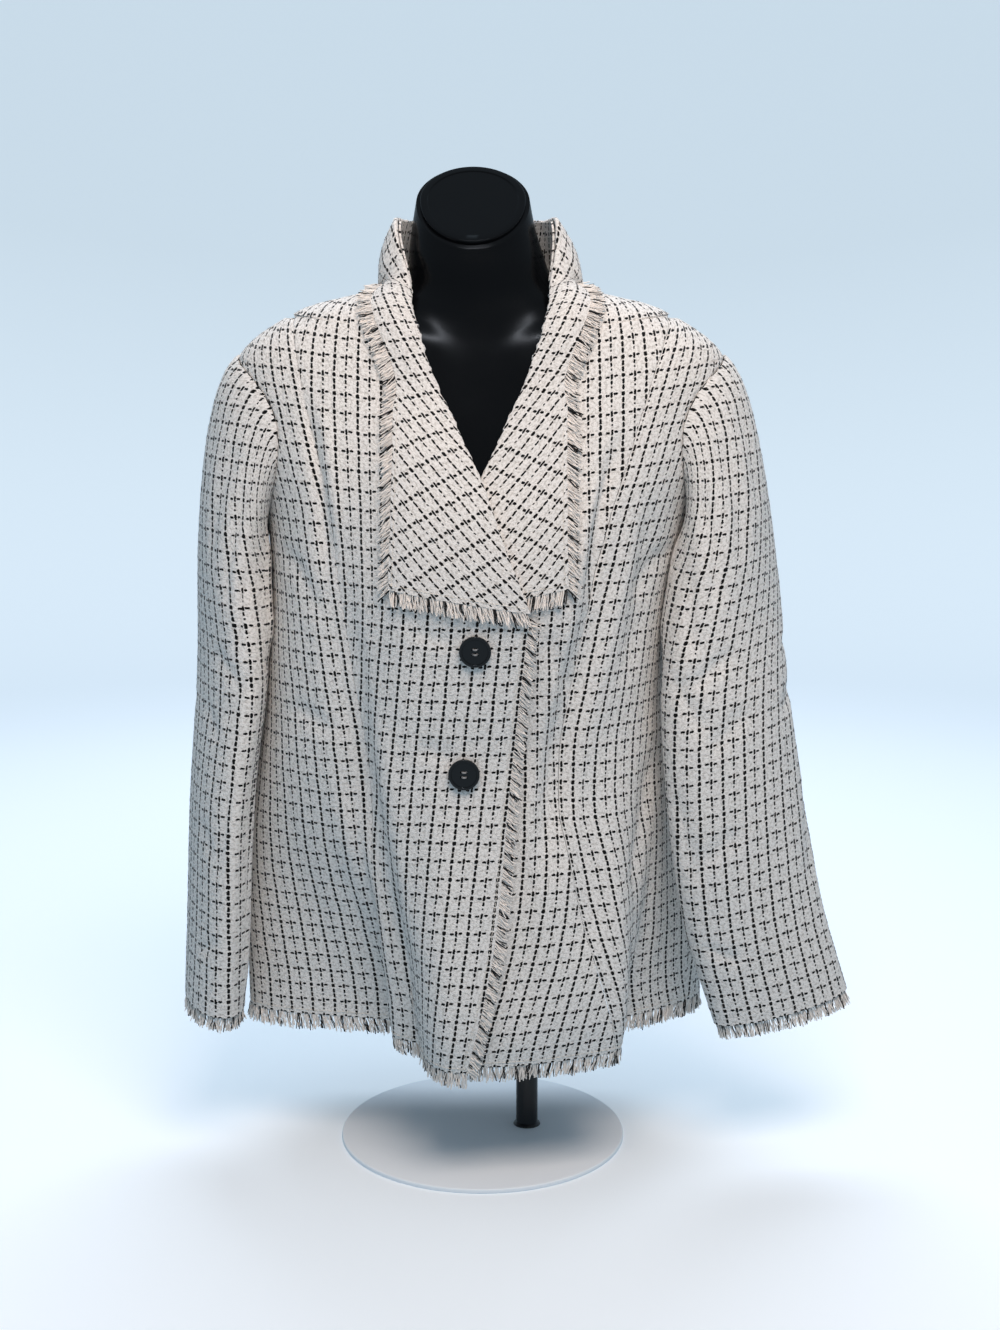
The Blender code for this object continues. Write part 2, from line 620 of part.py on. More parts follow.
def over_body(side, angle, level, lift):
    """A point above the body's cloth, or above the overlapping front on that side."""
    raised = overlap_lift(side * angle, level) if side < 0.0 else 0.0
    return on_body(side * angle, level, raised + lift)


def on_collar(rows, side, place, share, inset):
    """A point of the collar: place along it, share from fold to outer edge, inset from its face.

    The lapels lie on the chest. Around the neck the collar falls straight from its fold to its edge.
    """
    roll_angle, roll_level, edge_angle, edge_level, arch = through_rows(rows, place)
    angle = roll_angle + (edge_angle - roll_angle) * share
    level = roll_level + (edge_level - roll_level) * share
    rise = arch * math.sin(math.pi * min(max(share, 0.0), 1.0))
    lift = COLLAR_LIFT + COLLAR_WALL - inset
    falling = soft_step((place - FALL_STARTS) / FALL_OVER)
    lying = over_body(side, angle, level, lift + rise * (1.0 - falling))
    if falling == 0.0 or share >= 1.0:
        return lying
    fold = over_body(side, roll_angle, roll_level, lift)
    edge = over_body(side, edge_angle, edge_level, lift)
    bulge = rise * FALL_BULGE * body_normal(side * roll_angle, roll_level)
    hanging = fold + (edge - fold) * share + bulge
    return lying * (1.0 - falling) + hanging * falling


def build_collar(collection):
    rows = collar_rows()
    last = len(rows) - 1
    half_gap_share = 0.5 * SEAM_GAP / COLLAR_ROW_LENGTH
    places = spread((0.0, 4.0, 8), (4.0, 7.0, 11), (7.0, last - half_gap_share, 5))
    columns = 6
    for label, side in (("right", -1.0), ("left", 1.0)):
        outer = np.zeros((len(places), columns, 3))
        inner = np.zeros((len(places), columns, 3))
        for row, place in enumerate(places):
            for column in range(columns):
                share = column / (columns - 1)
                outer[row, column] = on_collar(rows, side, place, share, 0.0)
                inner[row, column] = on_collar(rows, side, place, share, COLLAR_WALL)
        name = "collar_" + label
        add_object(name, wall_mesh(name, outer, inner), "boucle_cloth", collection)
    build_stand(rows, collection)
    return rows


def build_stand(rows, collection):
    """Collar stand: from the neck seam up to the fold, around the back of the neck."""
    columns = 19
    steps = 3
    outer = np.zeros((steps, columns, 3))
    inner = np.zeros((steps, columns, 3))
    neck_rows = rows[len(LAPEL_ROWS):]
    fold_angles = [row[0] for row in neck_rows]
    fold_levels = [row[1] for row in neck_rows]
    for column in range(columns):
        turned = (2.0 * math.pi - 2.0 * STAND_FIRST_ANGLE) * column / (columns - 1)
        angle = STAND_FIRST_ANGLE + turned
        near_angle = angle if angle < math.pi else 2.0 * math.pi - angle
        fold_level = np.interp(near_angle, fold_angles, fold_levels)
        for step in range(steps):
            level = STAND_BOTTOM + (fold_level - STAND_BOTTOM) * step / (steps - 1)
            outer[step, column] = on_body(angle, level, 0.0)
            inner[step, column] = on_body(angle, level, -WALL)
    add_object("collar_stand", wall_mesh("collar_stand", outer, inner), "boucle_cloth", collection)


def comb(name, place, length, reach, gap, slant, collection):
    """Fringe: a narrow backing with four-sided locks that stand apart from each other.

    place(share, out, inset) is a point so far along the edge, so far out from it, and so
    far below the outer face. The slant moves the tips along the edge.
    """
    locks = max(int(round(length / LOCK_PITCH)), 1)
    pitch = 1.0 / locks
    root = LOCK_SHARE * pitch
    near = gap
    far = gap + FRINGE_BACKING
    stations = [0.0]
    for lock in range(locks):
        start = (lock + 0.5) * pitch - 0.5 * root
        stations += [start, start + root]
    stations.append(1.0)
    points = []
    for share in stations:
        for out in (near, far):
            for inset in (0.0, FRINGE_WALL):
                points.append(place(share, out, inset))
    faces = [(0, 1, 3, 2)]
    last = 4 * (len(stations) - 1)
    faces.append((last, last + 2, last + 3, last + 1))
    for index in range(len(stations) - 1):
        here = 4 * index
        there = here + 4
        faces.append((here, here + 2, there + 2, there))
        faces.append((here + 1, there + 1, there + 3, here + 3))
        faces.append((here, there, there + 1, here + 1))
        is_lock = index % 2 == 1
        if not is_lock:
            faces.append((here + 2, here + 3, there + 3, there + 2))
            continue
        middle = 0.5 * (stations[index] + stations[index + 1]) + slant * reach / length
        half_tip = 0.5 * LOCK_TAPER * root
        tip = len(points)
        for share in (middle - half_tip, middle + half_tip):
            for inset_share in LOCK_TIP_INSETS:
                points.append(place(share, reach, inset_share * FRINGE_WALL))
        faces.append((here + 2, tip, tip + 2, there + 2))
        faces.append((here + 3, there + 3, tip + 3, tip + 1))
        faces.append((here + 2, here + 3, tip + 1, tip))
        faces.append((there + 2, tip + 2, tip + 3, there + 3))
        faces.append((tip, tip + 1, tip + 3, tip + 2))
    add_object(name, closed_mesh(name, points, faces), "fringe_yarn", collection)


def path_length(point_at, steps):
    points = [point_at(step / steps) for step in range(steps + 1)]
    return sum(np.linalg.norm(after - before) for before, after in zip(points, points[1:]))


def build_hem_fringe(collection):
    """Fringe under the hem: one backing for each front and one for the back."""
    front_edge = angle_on_line(HEM, FRONT_EDGE_Z, FRONT_EDGE_X)
    under_edge = angle_on_line(HEM, UNDER_EDGE_Z, UNDER_EDGE_X)
    level_height = np.linalg.norm(body_point(0.0, 0.2) - body_point(0.0, 0.0)) / 0.2
    stretches = (("hem_fringe_right", -0.5 * math.pi, front_edge, overlap_lift),
                 ("hem_fringe_left", under_edge, 0.5 * math.pi, no_lift),
                 ("hem_fringe_back", 0.5 * math.pi, 1.5 * math.pi, no_lift))
    for name, first, last, lift in stretches:
        gap = SEAM_GAP / HEM_MEAN_RADIUS

        def place(share, out, inset, first=first + gap, last=last - gap, lift=lift):
            angle = first + (last - first) * share
            return on_body(angle, HEM - out / level_height, lift(angle, HEM) - inset)
        length = path_length(lambda share: place(share, 0.0, 0.0), 60)
        comb(name, place, length, HEM_FRINGE, HEM_FRINGE_GAP, 0.0, collection)


def build_edge_fringe(collection):
    """Fringe along the overlapping front edge, drooping toward the hem."""
    def place(share, out, inset):
        level = EDGE_FRINGE_TOP + (HEM - EDGE_FRINGE_TOP) * share
        edge = angle_on_line(level, FRONT_EDGE_Z, FRONT_EDGE_X)
        angle = edge + out / abs(body_point(edge, level)[1])
        return on_body(angle, level, overlap_lift(edge, level) - FRINGE_STEP_DOWN - inset)
    length = path_length(lambda share: place(share, 0.0, 0.0), 30)
    comb("front_edge_fringe", place, length, EDGE_FRINGE, FRINGE_GAP, EDGE_FRINGE_SLANT, collection)


def build_collar_fringe(rows, collection):
    """Fringe along the collar's square ends and along its outer edges to the back."""
    last = len(rows) - 1
    for label, side in (("right", -1.0), ("left", 1.0)):
        def end_place(share, out, inset, side=side):
            step = 0.1
            at_end = on_collar(rows, side, 0.0, 0.5, 0.0)
            run = np.linalg.norm(on_collar(rows, side, step, 0.5, 0.0) - at_end) / step
            across = END_FRINGE_INSET + (1.0 - 2.0 * END_FRINGE_INSET) * share
            return on_collar(rows, side, -out / run, across, inset + FRINGE_STEP_DOWN)

        def side_place(share, out, inset, side=side):
            step = 0.05
            along = (last - BACK_FRINGE_PART) * share
            at_edge = on_collar(rows, side, along, 1.0, 0.0)
            width = np.linalg.norm(at_edge - on_collar(rows, side, along, 1.0 - step, 0.0)) / step
            return on_collar(rows, side, along, 1.0 + out / width, inset + FRINGE_STEP_DOWN)
        end_length = path_length(lambda share: end_place(share, 0.0, 0.0), 12)
        side_length = path_length(lambda share: side_place(share, 0.0, 0.0), 40)
        comb("collar_end_fringe_" + label, end_place, end_length, COLLAR_FRINGE, FRINGE_GAP, 0.0, collection)
        comb("collar_side_fringe_" + label, side_place, side_length, COLLAR_FRINGE, COLLAR_FRINGE_GAP, 0.0,
             collection)


def build_cuff_fringe(collection):
    """Fringe under each cuff, parted at the back seam."""
    for label, side, table in (("right", -1.0, SLEEVE_RIGHT), ("left", 1.0, SLEEVE_LEFT)):
        rows = number_rows(table)
        end = float(len(table))
        step = 0.1
        at_end = sleeve_point(rows, side, 0.0, end)
        drop = np.linalg.norm(at_end - sleeve_point(rows, side, 0.0, end - step)) / step

        def place(share, out, inset, rows=rows, side=side, end=end, drop=drop):
            around = (2.0 * math.pi - 2.0 * CUFF_FRINGE_PART) * share
            turn = SLEEVE_SEAM_BACK + CUFF_FRINGE_PART + around
            return on_sleeve(rows, side, turn, end + out / drop, -inset)
        length = path_length(lambda share: place(share, 0.0, 0.0), 40)
        comb("cuff_fringe_" + label, place, length, CUFF_FRINGE, FRINGE_GAP, 0.0, collection)


def turned_mesh(name, profile, steps):
    """A shape turned about Z with the Screw modifier from a profile of radius and height."""
    mesh = bpy.data.meshes.new(name)
    points = [(radius, 0.0, height) for radius, height in profile]
    edges = [(index, index + 1) for index in range(len(points) - 1)]
    mesh.from_pydata(points, edges, [])
    blank = bpy.data.objects.new(name + "_blank", mesh)
    bpy.context.scene.collection.objects.link(blank)
    screw = blank.modifiers.new("turn", "SCREW")
    screw.steps = steps
    screw.render_steps = steps
    screw.use_merge_vertices = True
    screw.merge_threshold = 0.00001
    evaluated = blank.evaluated_get(bpy.context.evaluated_depsgraph_get())
    turned = bpy.data.meshes.new_from_object(evaluated)
    bpy.data.objects.remove(blank, do_unlink=True)
    shell = bmesh.new()
    shell.from_mesh(turned)
    bmesh.ops.recalc_face_normals(shell, faces=shell.faces)
    shell.to_mesh(turned)
    shell.free()
    turned.name = name
    return turned


def drilled(mesh, centres, radius, depth, collection):
    """The mesh with round holes drilled through it along Z."""
    blank = bpy.data.objects.new("blank", mesh)
    collection.objects.link(blank)
    cutters = []
    for x, y in centres:
        bit = bmesh.new()
        bmesh.ops.create_cone(bit, cap_ends=True, segments=8, radius1=radius, radius2=radius, depth=depth,
                              matrix=Matrix.Translation((x, y, 0.0)))
        bit_mesh = bpy.data.meshes.new("bit")
        bit.to_mesh(bit_mesh)
        bit.free()
        cutter = bpy.data.objects.new("bit", bit_mesh)
        collection.objects.link(cutter)
        cutters.append(cutter)
        cut = blank.modifiers.new("drill", "BOOLEAN")
        cut.operation = "DIFFERENCE"
        cut.solver = "EXACT"
        cut.object = cutter
    evaluated = blank.evaluated_get(bpy.context.evaluated_depsgraph_get())
    result = bpy.data.meshes.new_from_object(evaluated)
    for used in cutters + [blank]:
        bpy.data.objects.remove(used, do_unlink=True)
    return result


def on_overlap(x, z):
    """A point on the face of the overlapping front, given by x and height."""
    angle, level = place_on_front(x, z)
    return on_body(angle, level, overlap_lift(angle, level))


def build_buttons(collection):
    """Two dished four-hole buttons, sewn flat on the overlapping front."""
    inner_radius = BUTTON_RADIUS - BUTTON_RIM
    profile = ((0.0, 0.0), (BUTTON_FOOT_SHARE * BUTTON_RADIUS, 0.0), (BUTTON_RADIUS, 0.35 * BUTTON_THICK),
               (BUTTON_RADIUS, 0.7 * BUTTON_THICK), (BUTTON_RADIUS - 0.35 * BUTTON_RIM, BUTTON_THICK),
               (BUTTON_RADIUS - 0.7 * BUTTON_RIM, BUTTON_THICK), (inner_radius, BUTTON_THICK - BUTTON_DISH),
               (0.0, BUTTON_THICK - 1.35 * BUTTON_DISH))
    centres = [(x * BUTTON_HOLE_SPREAD, y * BUTTON_HOLE_SPREAD) for x in (-1, 1) for y in (-1, 1)]
    quarter = 3
    for name, x, z, shank in BUTTON_PLACES:
        blank = turned_mesh(name, profile, 22)
        mesh = drilled(blank, centres, BUTTON_HOLE_RADIUS, 4 * BUTTON_THICK, collection)
        middle = on_overlap(x, z)
        around = []
        for step in range(4 * quarter):
            turn = 0.5 * math.pi * step / quarter
            around.append(on_overlap(x + BUTTON_RADIUS * math.cos(turn), z + BUTTON_RADIUS * math.sin(turn)))
        across = around[0] - around[2 * quarter]
        upward = around[quarter] - around[3 * quarter]
        facing = np.cross(across, upward)
        facing = facing / np.linalg.norm(facing)
        highest = max(np.dot(point - middle, facing) for point in around + [middle])
        seat = Vector(middle + facing * (highest + shank))
        turn = Vector(facing).to_track_quat("Z", "Y").to_matrix().to_4x4()
        mesh.transform(Matrix.Translation(seat) @ turn)
        add_object(name, mesh, "black_button", collection)


def form_point(angle, level):
    """Point of the form; the topmost sections are cut by a plane that slopes up to the back."""
    row = through_rows(FORM_ROWS, level)
    point = section_point(FORM_ROWS, angle, level)
    cut_slope = (row[2] - row[0]) / (row[5] + row[6])
    cut_height = row[0] + cut_slope * (point[1] + row[5])
    point[2] += (cut_height - point[2]) * soft_step((level - NECK_CUT_FROM) / NECK_CUT_OVER)
    point[0] += NECK_LEAN_X * soft_step((level - NECK_LEAN_FROM) / NECK_LEAN_OVER)
    return point


def build_form(collection):
    """Smooth limbless torso and neck, closed below and at the slanted neck rim, and the neck's cap."""
    around = FORM_COLUMNS
    levels = spread((0.0, 1.0, 1), (1.0, 6.0, 6), (6.0, 9.0, 3), (9.0, 11.0, 3), (11.0, FORM_TOP, 5))
    turns = [2.0 * math.pi * step / around for step in range(around)]
    points = [form_point(turn, level) for level in levels for turn in turns]
    faces = [tuple(reversed(range(around)))]
    for row in range(len(levels) - 1):
        for step in range(around):
            here = row * around + step
            beside = row * around + (step + 1) % around
            faces.append((here, beside, beside + around, here + around))
    top = (len(levels) - 1) * around
    faces.append(tuple(range(top, top + around)))
    add_object("form_torso", closed_mesh("form_torso", points, faces), "black_form", collection)

    rim = [form_point(turn, FORM_TOP) for turn in turns]
    middle = sum(rim) / around
    upward = np.cross(rim[around // 4] - middle, rim[around // 2] - middle)
    upward = upward / np.linalg.norm(upward)
    shrink = 1.0 - CAP_INSET / np.linalg.norm(rim[around // 4] - middle)
    plan = [middle + (point - middle) * shrink for point in rim]
    low = [point + upward * SEAM_GAP for point in plan]
    high = [point + upward * CAP_THICK for point in plan]
    cap_faces = [tuple(range(around)), tuple(range(2 * around - 1, around - 1, -1))]
    for step in range(around):
        following = (step + 1) % around
        cap_faces.append((step, following, following + around, step + around))
    cap = closed_mesh("form_neck_cap", low + high, cap_faces)
    shell = bmesh.new()
    shell.from_mesh(cap)
    top_edges = [edge for edge in shell.edges if all(vertex.index >= around for vertex in edge.verts)]
    bmesh.ops.bevel(shell, geom=top_edges, offset=CAP_ROUND, segments=1, affect="EDGES", profile=0.5)
    shell.to_mesh(cap)
    shell.free()
    add_object("form_neck_cap", cap, "black_form", collection)


def build_stand_metal(collection):
    """Pole from the base plate up to the form's underside, and a thin round base plate."""
    low = BASE_THICK + SEAM_GAP
    high = FORM_LEVELS[0][1] - SEAM_GAP
    pole = turned_mesh("stand_pole", ((0.0, low), (POLE_RADIUS, low), (POLE_RADIUS, high), (0.0, high)), 20)
    pole.transform(Matrix.Translation((POLE_X, POLE_Y, 0.0)))
    add_object("stand_pole", pole, "stand_lacquer", collection)
    profile = ((0.0, 0.0), (BASE_RADIUS, 0.0), (BASE_RADIUS, BASE_THICK - BASE_ROUND),
               (BASE_RADIUS - BASE_ROUND, BASE_THICK), (0.0, BASE_THICK))
    add_object("stand_base", turned_mesh("stand_base", profile, 40), "base_lacquer", collection)


def build_part():
    clear_scene()
    collection = part_collection()
    build_body(collection)
    build_sleeves(collection)
    rows = build_collar(collection)
    build_hem_fringe(collection)
    build_edge_fringe(collection)
    build_collar_fringe(rows, collection)
    build_cuff_fringe(collection)
    build_buttons(collection)
    build_form(collection)
    build_stand_metal(collection)


build_part()
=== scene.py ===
import math

import bmesh
import bpy
import numpy as np
from mathutils import Matrix, Vector


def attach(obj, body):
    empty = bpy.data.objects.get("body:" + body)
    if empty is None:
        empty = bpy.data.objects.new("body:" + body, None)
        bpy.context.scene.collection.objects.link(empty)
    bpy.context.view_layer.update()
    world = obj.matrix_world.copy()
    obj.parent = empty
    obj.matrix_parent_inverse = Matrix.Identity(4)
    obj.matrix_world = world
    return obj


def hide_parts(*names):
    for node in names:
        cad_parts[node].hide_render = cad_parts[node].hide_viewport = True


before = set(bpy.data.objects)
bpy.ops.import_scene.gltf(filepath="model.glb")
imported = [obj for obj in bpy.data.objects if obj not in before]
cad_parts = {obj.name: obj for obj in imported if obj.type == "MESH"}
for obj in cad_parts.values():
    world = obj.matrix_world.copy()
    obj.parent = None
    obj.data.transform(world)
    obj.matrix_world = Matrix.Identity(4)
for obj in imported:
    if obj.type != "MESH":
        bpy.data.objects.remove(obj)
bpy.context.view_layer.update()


# Stand
# A black lacquered steel tube goes up into the form from a thin round steel plate that is
# lacquered as pale as the floor. Both are turned, and the tube is welded to the plate.

POLE_RADIUS = 0.010
POLE_X = 0.041
POLE_Y = 0.010
POLE_TOP = 0.2677
BASE_RADIUS = 0.130
BASE_THICK = 0.004
BASE_ROUND = 0.0015
BASE_CHAMFER = 0.0005
WELD_RADIUS = 0.0125
WELD_HEIGHT = 0.0028
WELD_LIP_IN = 0.0006
WELD_LIP_UP = 0.0012
TUBE_RIPPLE = 0.004
ORANGE_PEEL = 0.0015
SEAM_GAP = 0.0003               # pieces lie this far apart where they meet


def linear(colour):
    """Linear colour, with alpha, of an sRGB hex value."""
    channels = [int(colour[place:place + 2], 16) / 255.0 for place in (1, 3, 5)]
    flat = [value / 12.92 if value <= 0.04045 else ((value + 0.055) / 1.055) ** 2.4 for value in channels]
    return (*flat, 1.0)


def add_node(tree, kind, inputs=None, **settings):
    """A new node; each input takes a value or the socket that feeds it."""
    node = tree.nodes.new(kind)
    for name, value in settings.items():
        setattr(node, name, value)
    for name, value in (inputs or {}).items():
        if isinstance(value, bpy.types.NodeSocket):
            tree.links.new(value, node.inputs[name])
        else:
            node.inputs[name].default_value = value
    return node


def new_finish(name, colour, roughness, **sockets):
    """A material with one Principled shader; gives the material, its node tree and the shader."""
    material = bpy.data.materials.new(name)
    material.use_nodes = True
    tree = material.node_tree
    shader = tree.nodes["Principled BSDF"]
    shader.inputs["Base Color"].default_value = linear(colour)
    shader.inputs["Roughness"].default_value = roughness
    for socket, value in sockets.items():
        shader.inputs[socket.replace("_", " ")].default_value = value
    return material, tree, shader


def add_piece(name, mesh, material, slot, *nodes):
    """A finished piece that rides on the part and stands for the solids it replaces."""
    if material:
        mesh.materials.clear()
        mesh.materials.append(material)
    piece = bpy.data.objects.new(name, mesh)
    bpy.context.scene.collection.objects.link(piece)
    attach(piece, "root")
    if nodes:
        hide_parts(*nodes)
    return piece


def smooth_mesh(name, points, faces, sharp_degrees):
    """A mesh that is shaded smooth up to an angle between its faces."""
    mesh = bpy.data.meshes.new(name)
    mesh.from_pydata([tuple(point) for point in points], [], faces)
    mesh.update()
    mesh.shade_smooth()
    mesh.set_sharp_from_angle(angle=math.radians(sharp_degrees))
    return mesh


def turned_mesh(name, profile, steps, sharp_degrees):
    """A closed shape turned about Z from a profile of radius and height, axis to axis, bottom first."""
    points = [(0.0, 0.0, profile[0][1]), (0.0, 0.0, profile[-1][1])]
    rings = profile[1:-1]
    for radius, height in rings:
        for step in range(steps):
            turn = 2.0 * math.pi * step / steps
            points.append((radius * math.cos(turn), radius * math.sin(turn), height))
    faces = []
    last = 2 + (len(rings) - 1) * steps
    for step in range(steps):
        beside = (step + 1) % steps
        faces.append((0, 2 + beside, 2 + step))
        faces.append((1, last + step, last + beside))
        for ring in range(len(rings) - 1):
            low = 2 + ring * steps
            faces.append((low + step, low + beside, low + steps + beside, low + steps + step))
    return smooth_mesh(name, points, faces, sharp_degrees)


def quarter_round(radius, steps):
    """Inset and drop of the points round an edge, from its side to its top."""
    turns = [0.5 * math.pi * step / steps for step in range(1, steps + 1)]
    return [(radius * (1.0 - math.cos(turn)), radius * (1.0 - math.sin(turn))) for turn in turns]


def add_grain(tree, shader, size, detail, strength, depth):
    """Fine unevenness of a surface, as bump from noise of a real size."""
    coordinates = add_node(tree, "ShaderNodeTexCoord")
    noise = add_node(tree, "ShaderNodeTexNoise", {"Vector": coordinates.outputs["Object"],
                                                  "Scale": 1.0 / size, "Detail": detail})
    bump = add_node(tree, "ShaderNodeBump", {"Height": noise.outputs["Fac"], "Strength": strength,
                                             "Distance": depth})
    tree.links.new(bump.outputs["Normal"], shader.inputs["Normal"])


# Black lacquer on drawn steel tube: deep, with a faint ripple that breaks up its highlight
tube_lacquer, tree, shader = new_finish("black_lacquer_on_steel_tube", "#101114", 0.30)
add_grain(tree, shader, TUBE_RIPPLE, detail=2.0, strength=0.08, depth=0.0004)

# Pale lacquer, sprayed over steel: matt, with a very fine orange peel
plate_lacquer, tree, shader = new_finish("pale_sprayed_lacquer", "#eef5fb", 0.85, Specular_IOR_Level=0.10)
add_grain(tree, shader, ORANGE_PEEL, detail=1.0, strength=0.05, depth=0.0002)

pole_foot = BASE_THICK + SEAM_GAP
pole_profile = ((0.0, pole_foot), (WELD_RADIUS, pole_foot),
                (WELD_RADIUS - WELD_LIP_IN, pole_foot + WELD_LIP_UP),
                (POLE_RADIUS, pole_foot + WELD_HEIGHT), (POLE_RADIUS, POLE_TOP), (0.0, POLE_TOP))
pole_mesh = turned_mesh("stand_tube", pole_profile, 64, 40.0)
pole_mesh.transform(Matrix.Translation((POLE_X, POLE_Y, 0.0)))
add_piece("stand_tube", pole_mesh, tube_lacquer, "stand_lacquer", "stand_pole")

plate_profile = [(0.0, 0.0), (BASE_RADIUS - BASE_CHAMFER, 0.0), (BASE_RADIUS, BASE_CHAMFER),
                 (BASE_RADIUS, BASE_THICK - BASE_ROUND)]
plate_profile += [(BASE_RADIUS - inset, BASE_THICK - drop) for inset, drop in quarter_round(BASE_ROUND, 5)]
plate_profile.append((0.0, BASE_THICK))
plate_mesh = turned_mesh("stand_plate", plate_profile, 128, 40.0)
add_piece("stand_plate", plate_mesh, plate_lacquer, "base_lacquer", "stand_base")


# Dress form
# A limbless torso and neck moulded in glossy black plastic, closed by a slanted cap at the neck.
# Its shape is a skin over level sections from the bottom edge to the cap's rim.

FORM_LEVELS = (
    # name            z_front z_side z_back half_left half_right front back square
    ("underside",      0.268, 0.268, 0.268, 0.100, 0.100, 0.066, 0.070, 2.2),
    ("bottom edge",    0.276, 0.276, 0.276, 0.122, 0.122, 0.083, 0.086, 2.2),
    ("hip",            0.315, 0.315, 0.315, 0.132, 0.132, 0.091, 0.092, 2.2),
    ("waist",          0.395, 0.395, 0.395, 0.119, 0.119, 0.088, 0.080, 2.2),
    ("rib",            0.455, 0.455, 0.455, 0.126, 0.126, 0.102, 0.085, 2.2),
    ("bust",           0.515, 0.515, 0.515, 0.139, 0.139, 0.119, 0.092, 2.2),
    ("chest",          0.590, 0.610, 0.600, 0.152, 0.152, 0.110, 0.097, 2.2),
    ("upper chest",    0.645, 0.678, 0.660, 0.162, 0.162, 0.094, 0.094, 2.3),
    ("shoulder end",   0.680, 0.720, 0.705, 0.156, 0.156, 0.081, 0.084, 2.2),
    ("mid shoulder",   0.706, 0.7543, 0.735, 0.130, 0.130, 0.071, 0.075, 2.0),
    ("inner shoulder", 0.727, 0.7612, 0.757, 0.105, 0.105, 0.062, 0.067, 1.8),
    ("shoulder root",  0.744, 0.7664, 0.770, 0.085, 0.085, 0.056, 0.060, 1.8),
    ("neck base",      0.763, 0.7770, 0.786, 0.063, 0.063, 0.051, 0.053, 1.9),
    ("neck",           0.784, 0.8060, 0.820, 0.056, 0.056, 0.050, 0.047, 2.0),
    ("cap rim",        0.8005, 0.8400, 0.8725, 0.0485, 0.0485, 0.046, 0.036, 2.0),
)
FORM_TOP = 14.0
NECK_LEAN_X = -0.007
NECK_LEAN_FROM = 11.3
NECK_LEAN_OVER = 2.5
NECK_CUT_FROM = 12.0
NECK_CUT_OVER = 2.0
CAP_THICK = 0.004
CAP_INSET = 0.0035
CAP_ROUND = 0.0012
CAP_GROOVE = 0.006              # a shallow step runs round the cap, this far in from its edge
CAP_GROOVE_DEEP = 0.0008
CAP_GROOVE_FLOOR = 0.0020
HAZE_SIZE = 0.045
MOULD_WAVE = 0.03
FORM_COLUMNS = 128
FORM_ROWS_FINE = 150


def soft_step(share):
    """A ramp from 0 to 1 with soft ends."""
    share = np.clip(share, 0.0, 1.0)
    return share * share * (3.0 - 2.0 * share)


def number_rows(table):
    """A table's numbers, without the names in its first column."""
    return np.array([row[1:] for row in table], dtype=float)


def through_rows(rows, place):
    """Smooth curve through a table's rows at each place; it runs on straight past either end."""
    place = np.asarray(place, dtype=float)
    last = len(rows) - 1
    first = np.clip(np.floor(place).astype(int), 0, last - 1)
    before = rows[np.maximum(first - 1, 0)]
    start = rows[first]
    end = rows[first + 1]
    after = rows[np.minimum(first + 2, last)]
    start_slope = (end - before) * np.where(first > 0, 0.5, 1.0)[..., None]
    end_slope = (after - start) * np.where(first + 1 < last, 0.5, 1.0)[..., None]
    share = (place - first)[..., None]
    inside = np.clip(share, 0.0, 1.0)
    square = inside * inside
    cube = square * inside
    curve = (start * (2 * cube - 3 * square + 1) + start_slope * (cube - 2 * square + inside)
             + end * (3 * square - 2 * cube) + end_slope * (cube - square))
    return curve + start_slope * np.minimum(share, 0.0) + end_slope * np.maximum(share - 1.0, 0.0)


def section_points(rows, angle, level):
    """Points of the level sections: angle from the front, viewer's right is plus."""
    angle, level = np.broadcast_arrays(np.asarray(angle, float), np.asarray(level, float))
    columns = np.moveaxis(through_rows(rows, level), -1, 0)
    z_front, z_side, z_back, half_left, half_right, front, back, square = columns
    sine = np.sin(angle)
    cosine = np.cos(angle)
    half = np.where(sine > 0.0, half_right, half_left)
    depth = np.where(cosine > 0.0, front, back)
    reach = ((np.abs(sine) / half) ** square + (np.abs(cosine) / depth) ** square) ** (-1.0 / square)
    z_end = np.where(cosine > 0.0, z_front, z_back)
    height = z_side * sine * sine + z_end * cosine * cosine
    return np.stack((reach * sine, -reach * cosine, height), axis=-1)


def form_points(angle, level):
    """Points of the form; its topmost sections are cut by a plane that slopes up to the back."""
    angle, level = np.broadcast_arrays(np.asarray(angle, float), np.asarray(level, float))
    rows = number_rows(FORM_LEVELS)
    z_front, _, z_back, _, _, front, back, _ = np.moveaxis(through_rows(rows, level), -1, 0)
    points = section_points(rows, angle, level)
    cut_height = z_front + (z_back - z_front) / (front + back) * (points[..., 1] + front)
    cut = soft_step((level - NECK_CUT_FROM) / NECK_CUT_OVER)
    points[..., 2] += (cut_height - points[..., 2]) * cut
    points[..., 0] += NECK_LEAN_X * soft_step((level - NECK_LEAN_FROM) / NECK_LEAN_OVER)
    return points


def ring_mesh(name, rings, sharp_degrees):
    """A closed skin over rings of points, with a flat end at either side."""
    count, around = rings.shape[:2]
    faces = [tuple(reversed(range(around)))]
    for ring in range(count - 1):
        low = ring * around
        for step in range(around):
            beside = (step + 1) % around
            faces.append((low + step, low + beside, low + around + beside, low + around + step))
    top = (count - 1) * around
    faces.append(tuple(range(top, top + around)))
    return smooth_mesh(name, rings.reshape(-1, 3), faces, sharp_degrees)


def vary_gloss(tree, shader, size, detail, low, high, glossy, dull):
    """Patchy gloss: between low and high, noise of a real size turns glossy roughness to dull."""
    coordinates = add_node(tree, "ShaderNodeTexCoord")
    patches = add_node(tree, "ShaderNodeTexNoise", {"Vector": coordinates.outputs["Object"],
                                                    "Scale": 1.0 / size, "Detail": detail})
    rough = add_node(tree, "ShaderNodeMapRange", {"Value": patches.outputs["Fac"], "From Min": low,
                                                  "From Max": high, "To Min": glossy, "To Max": dull})
    tree.links.new(rough.outputs["Result"], shader.inputs["Roughness"])


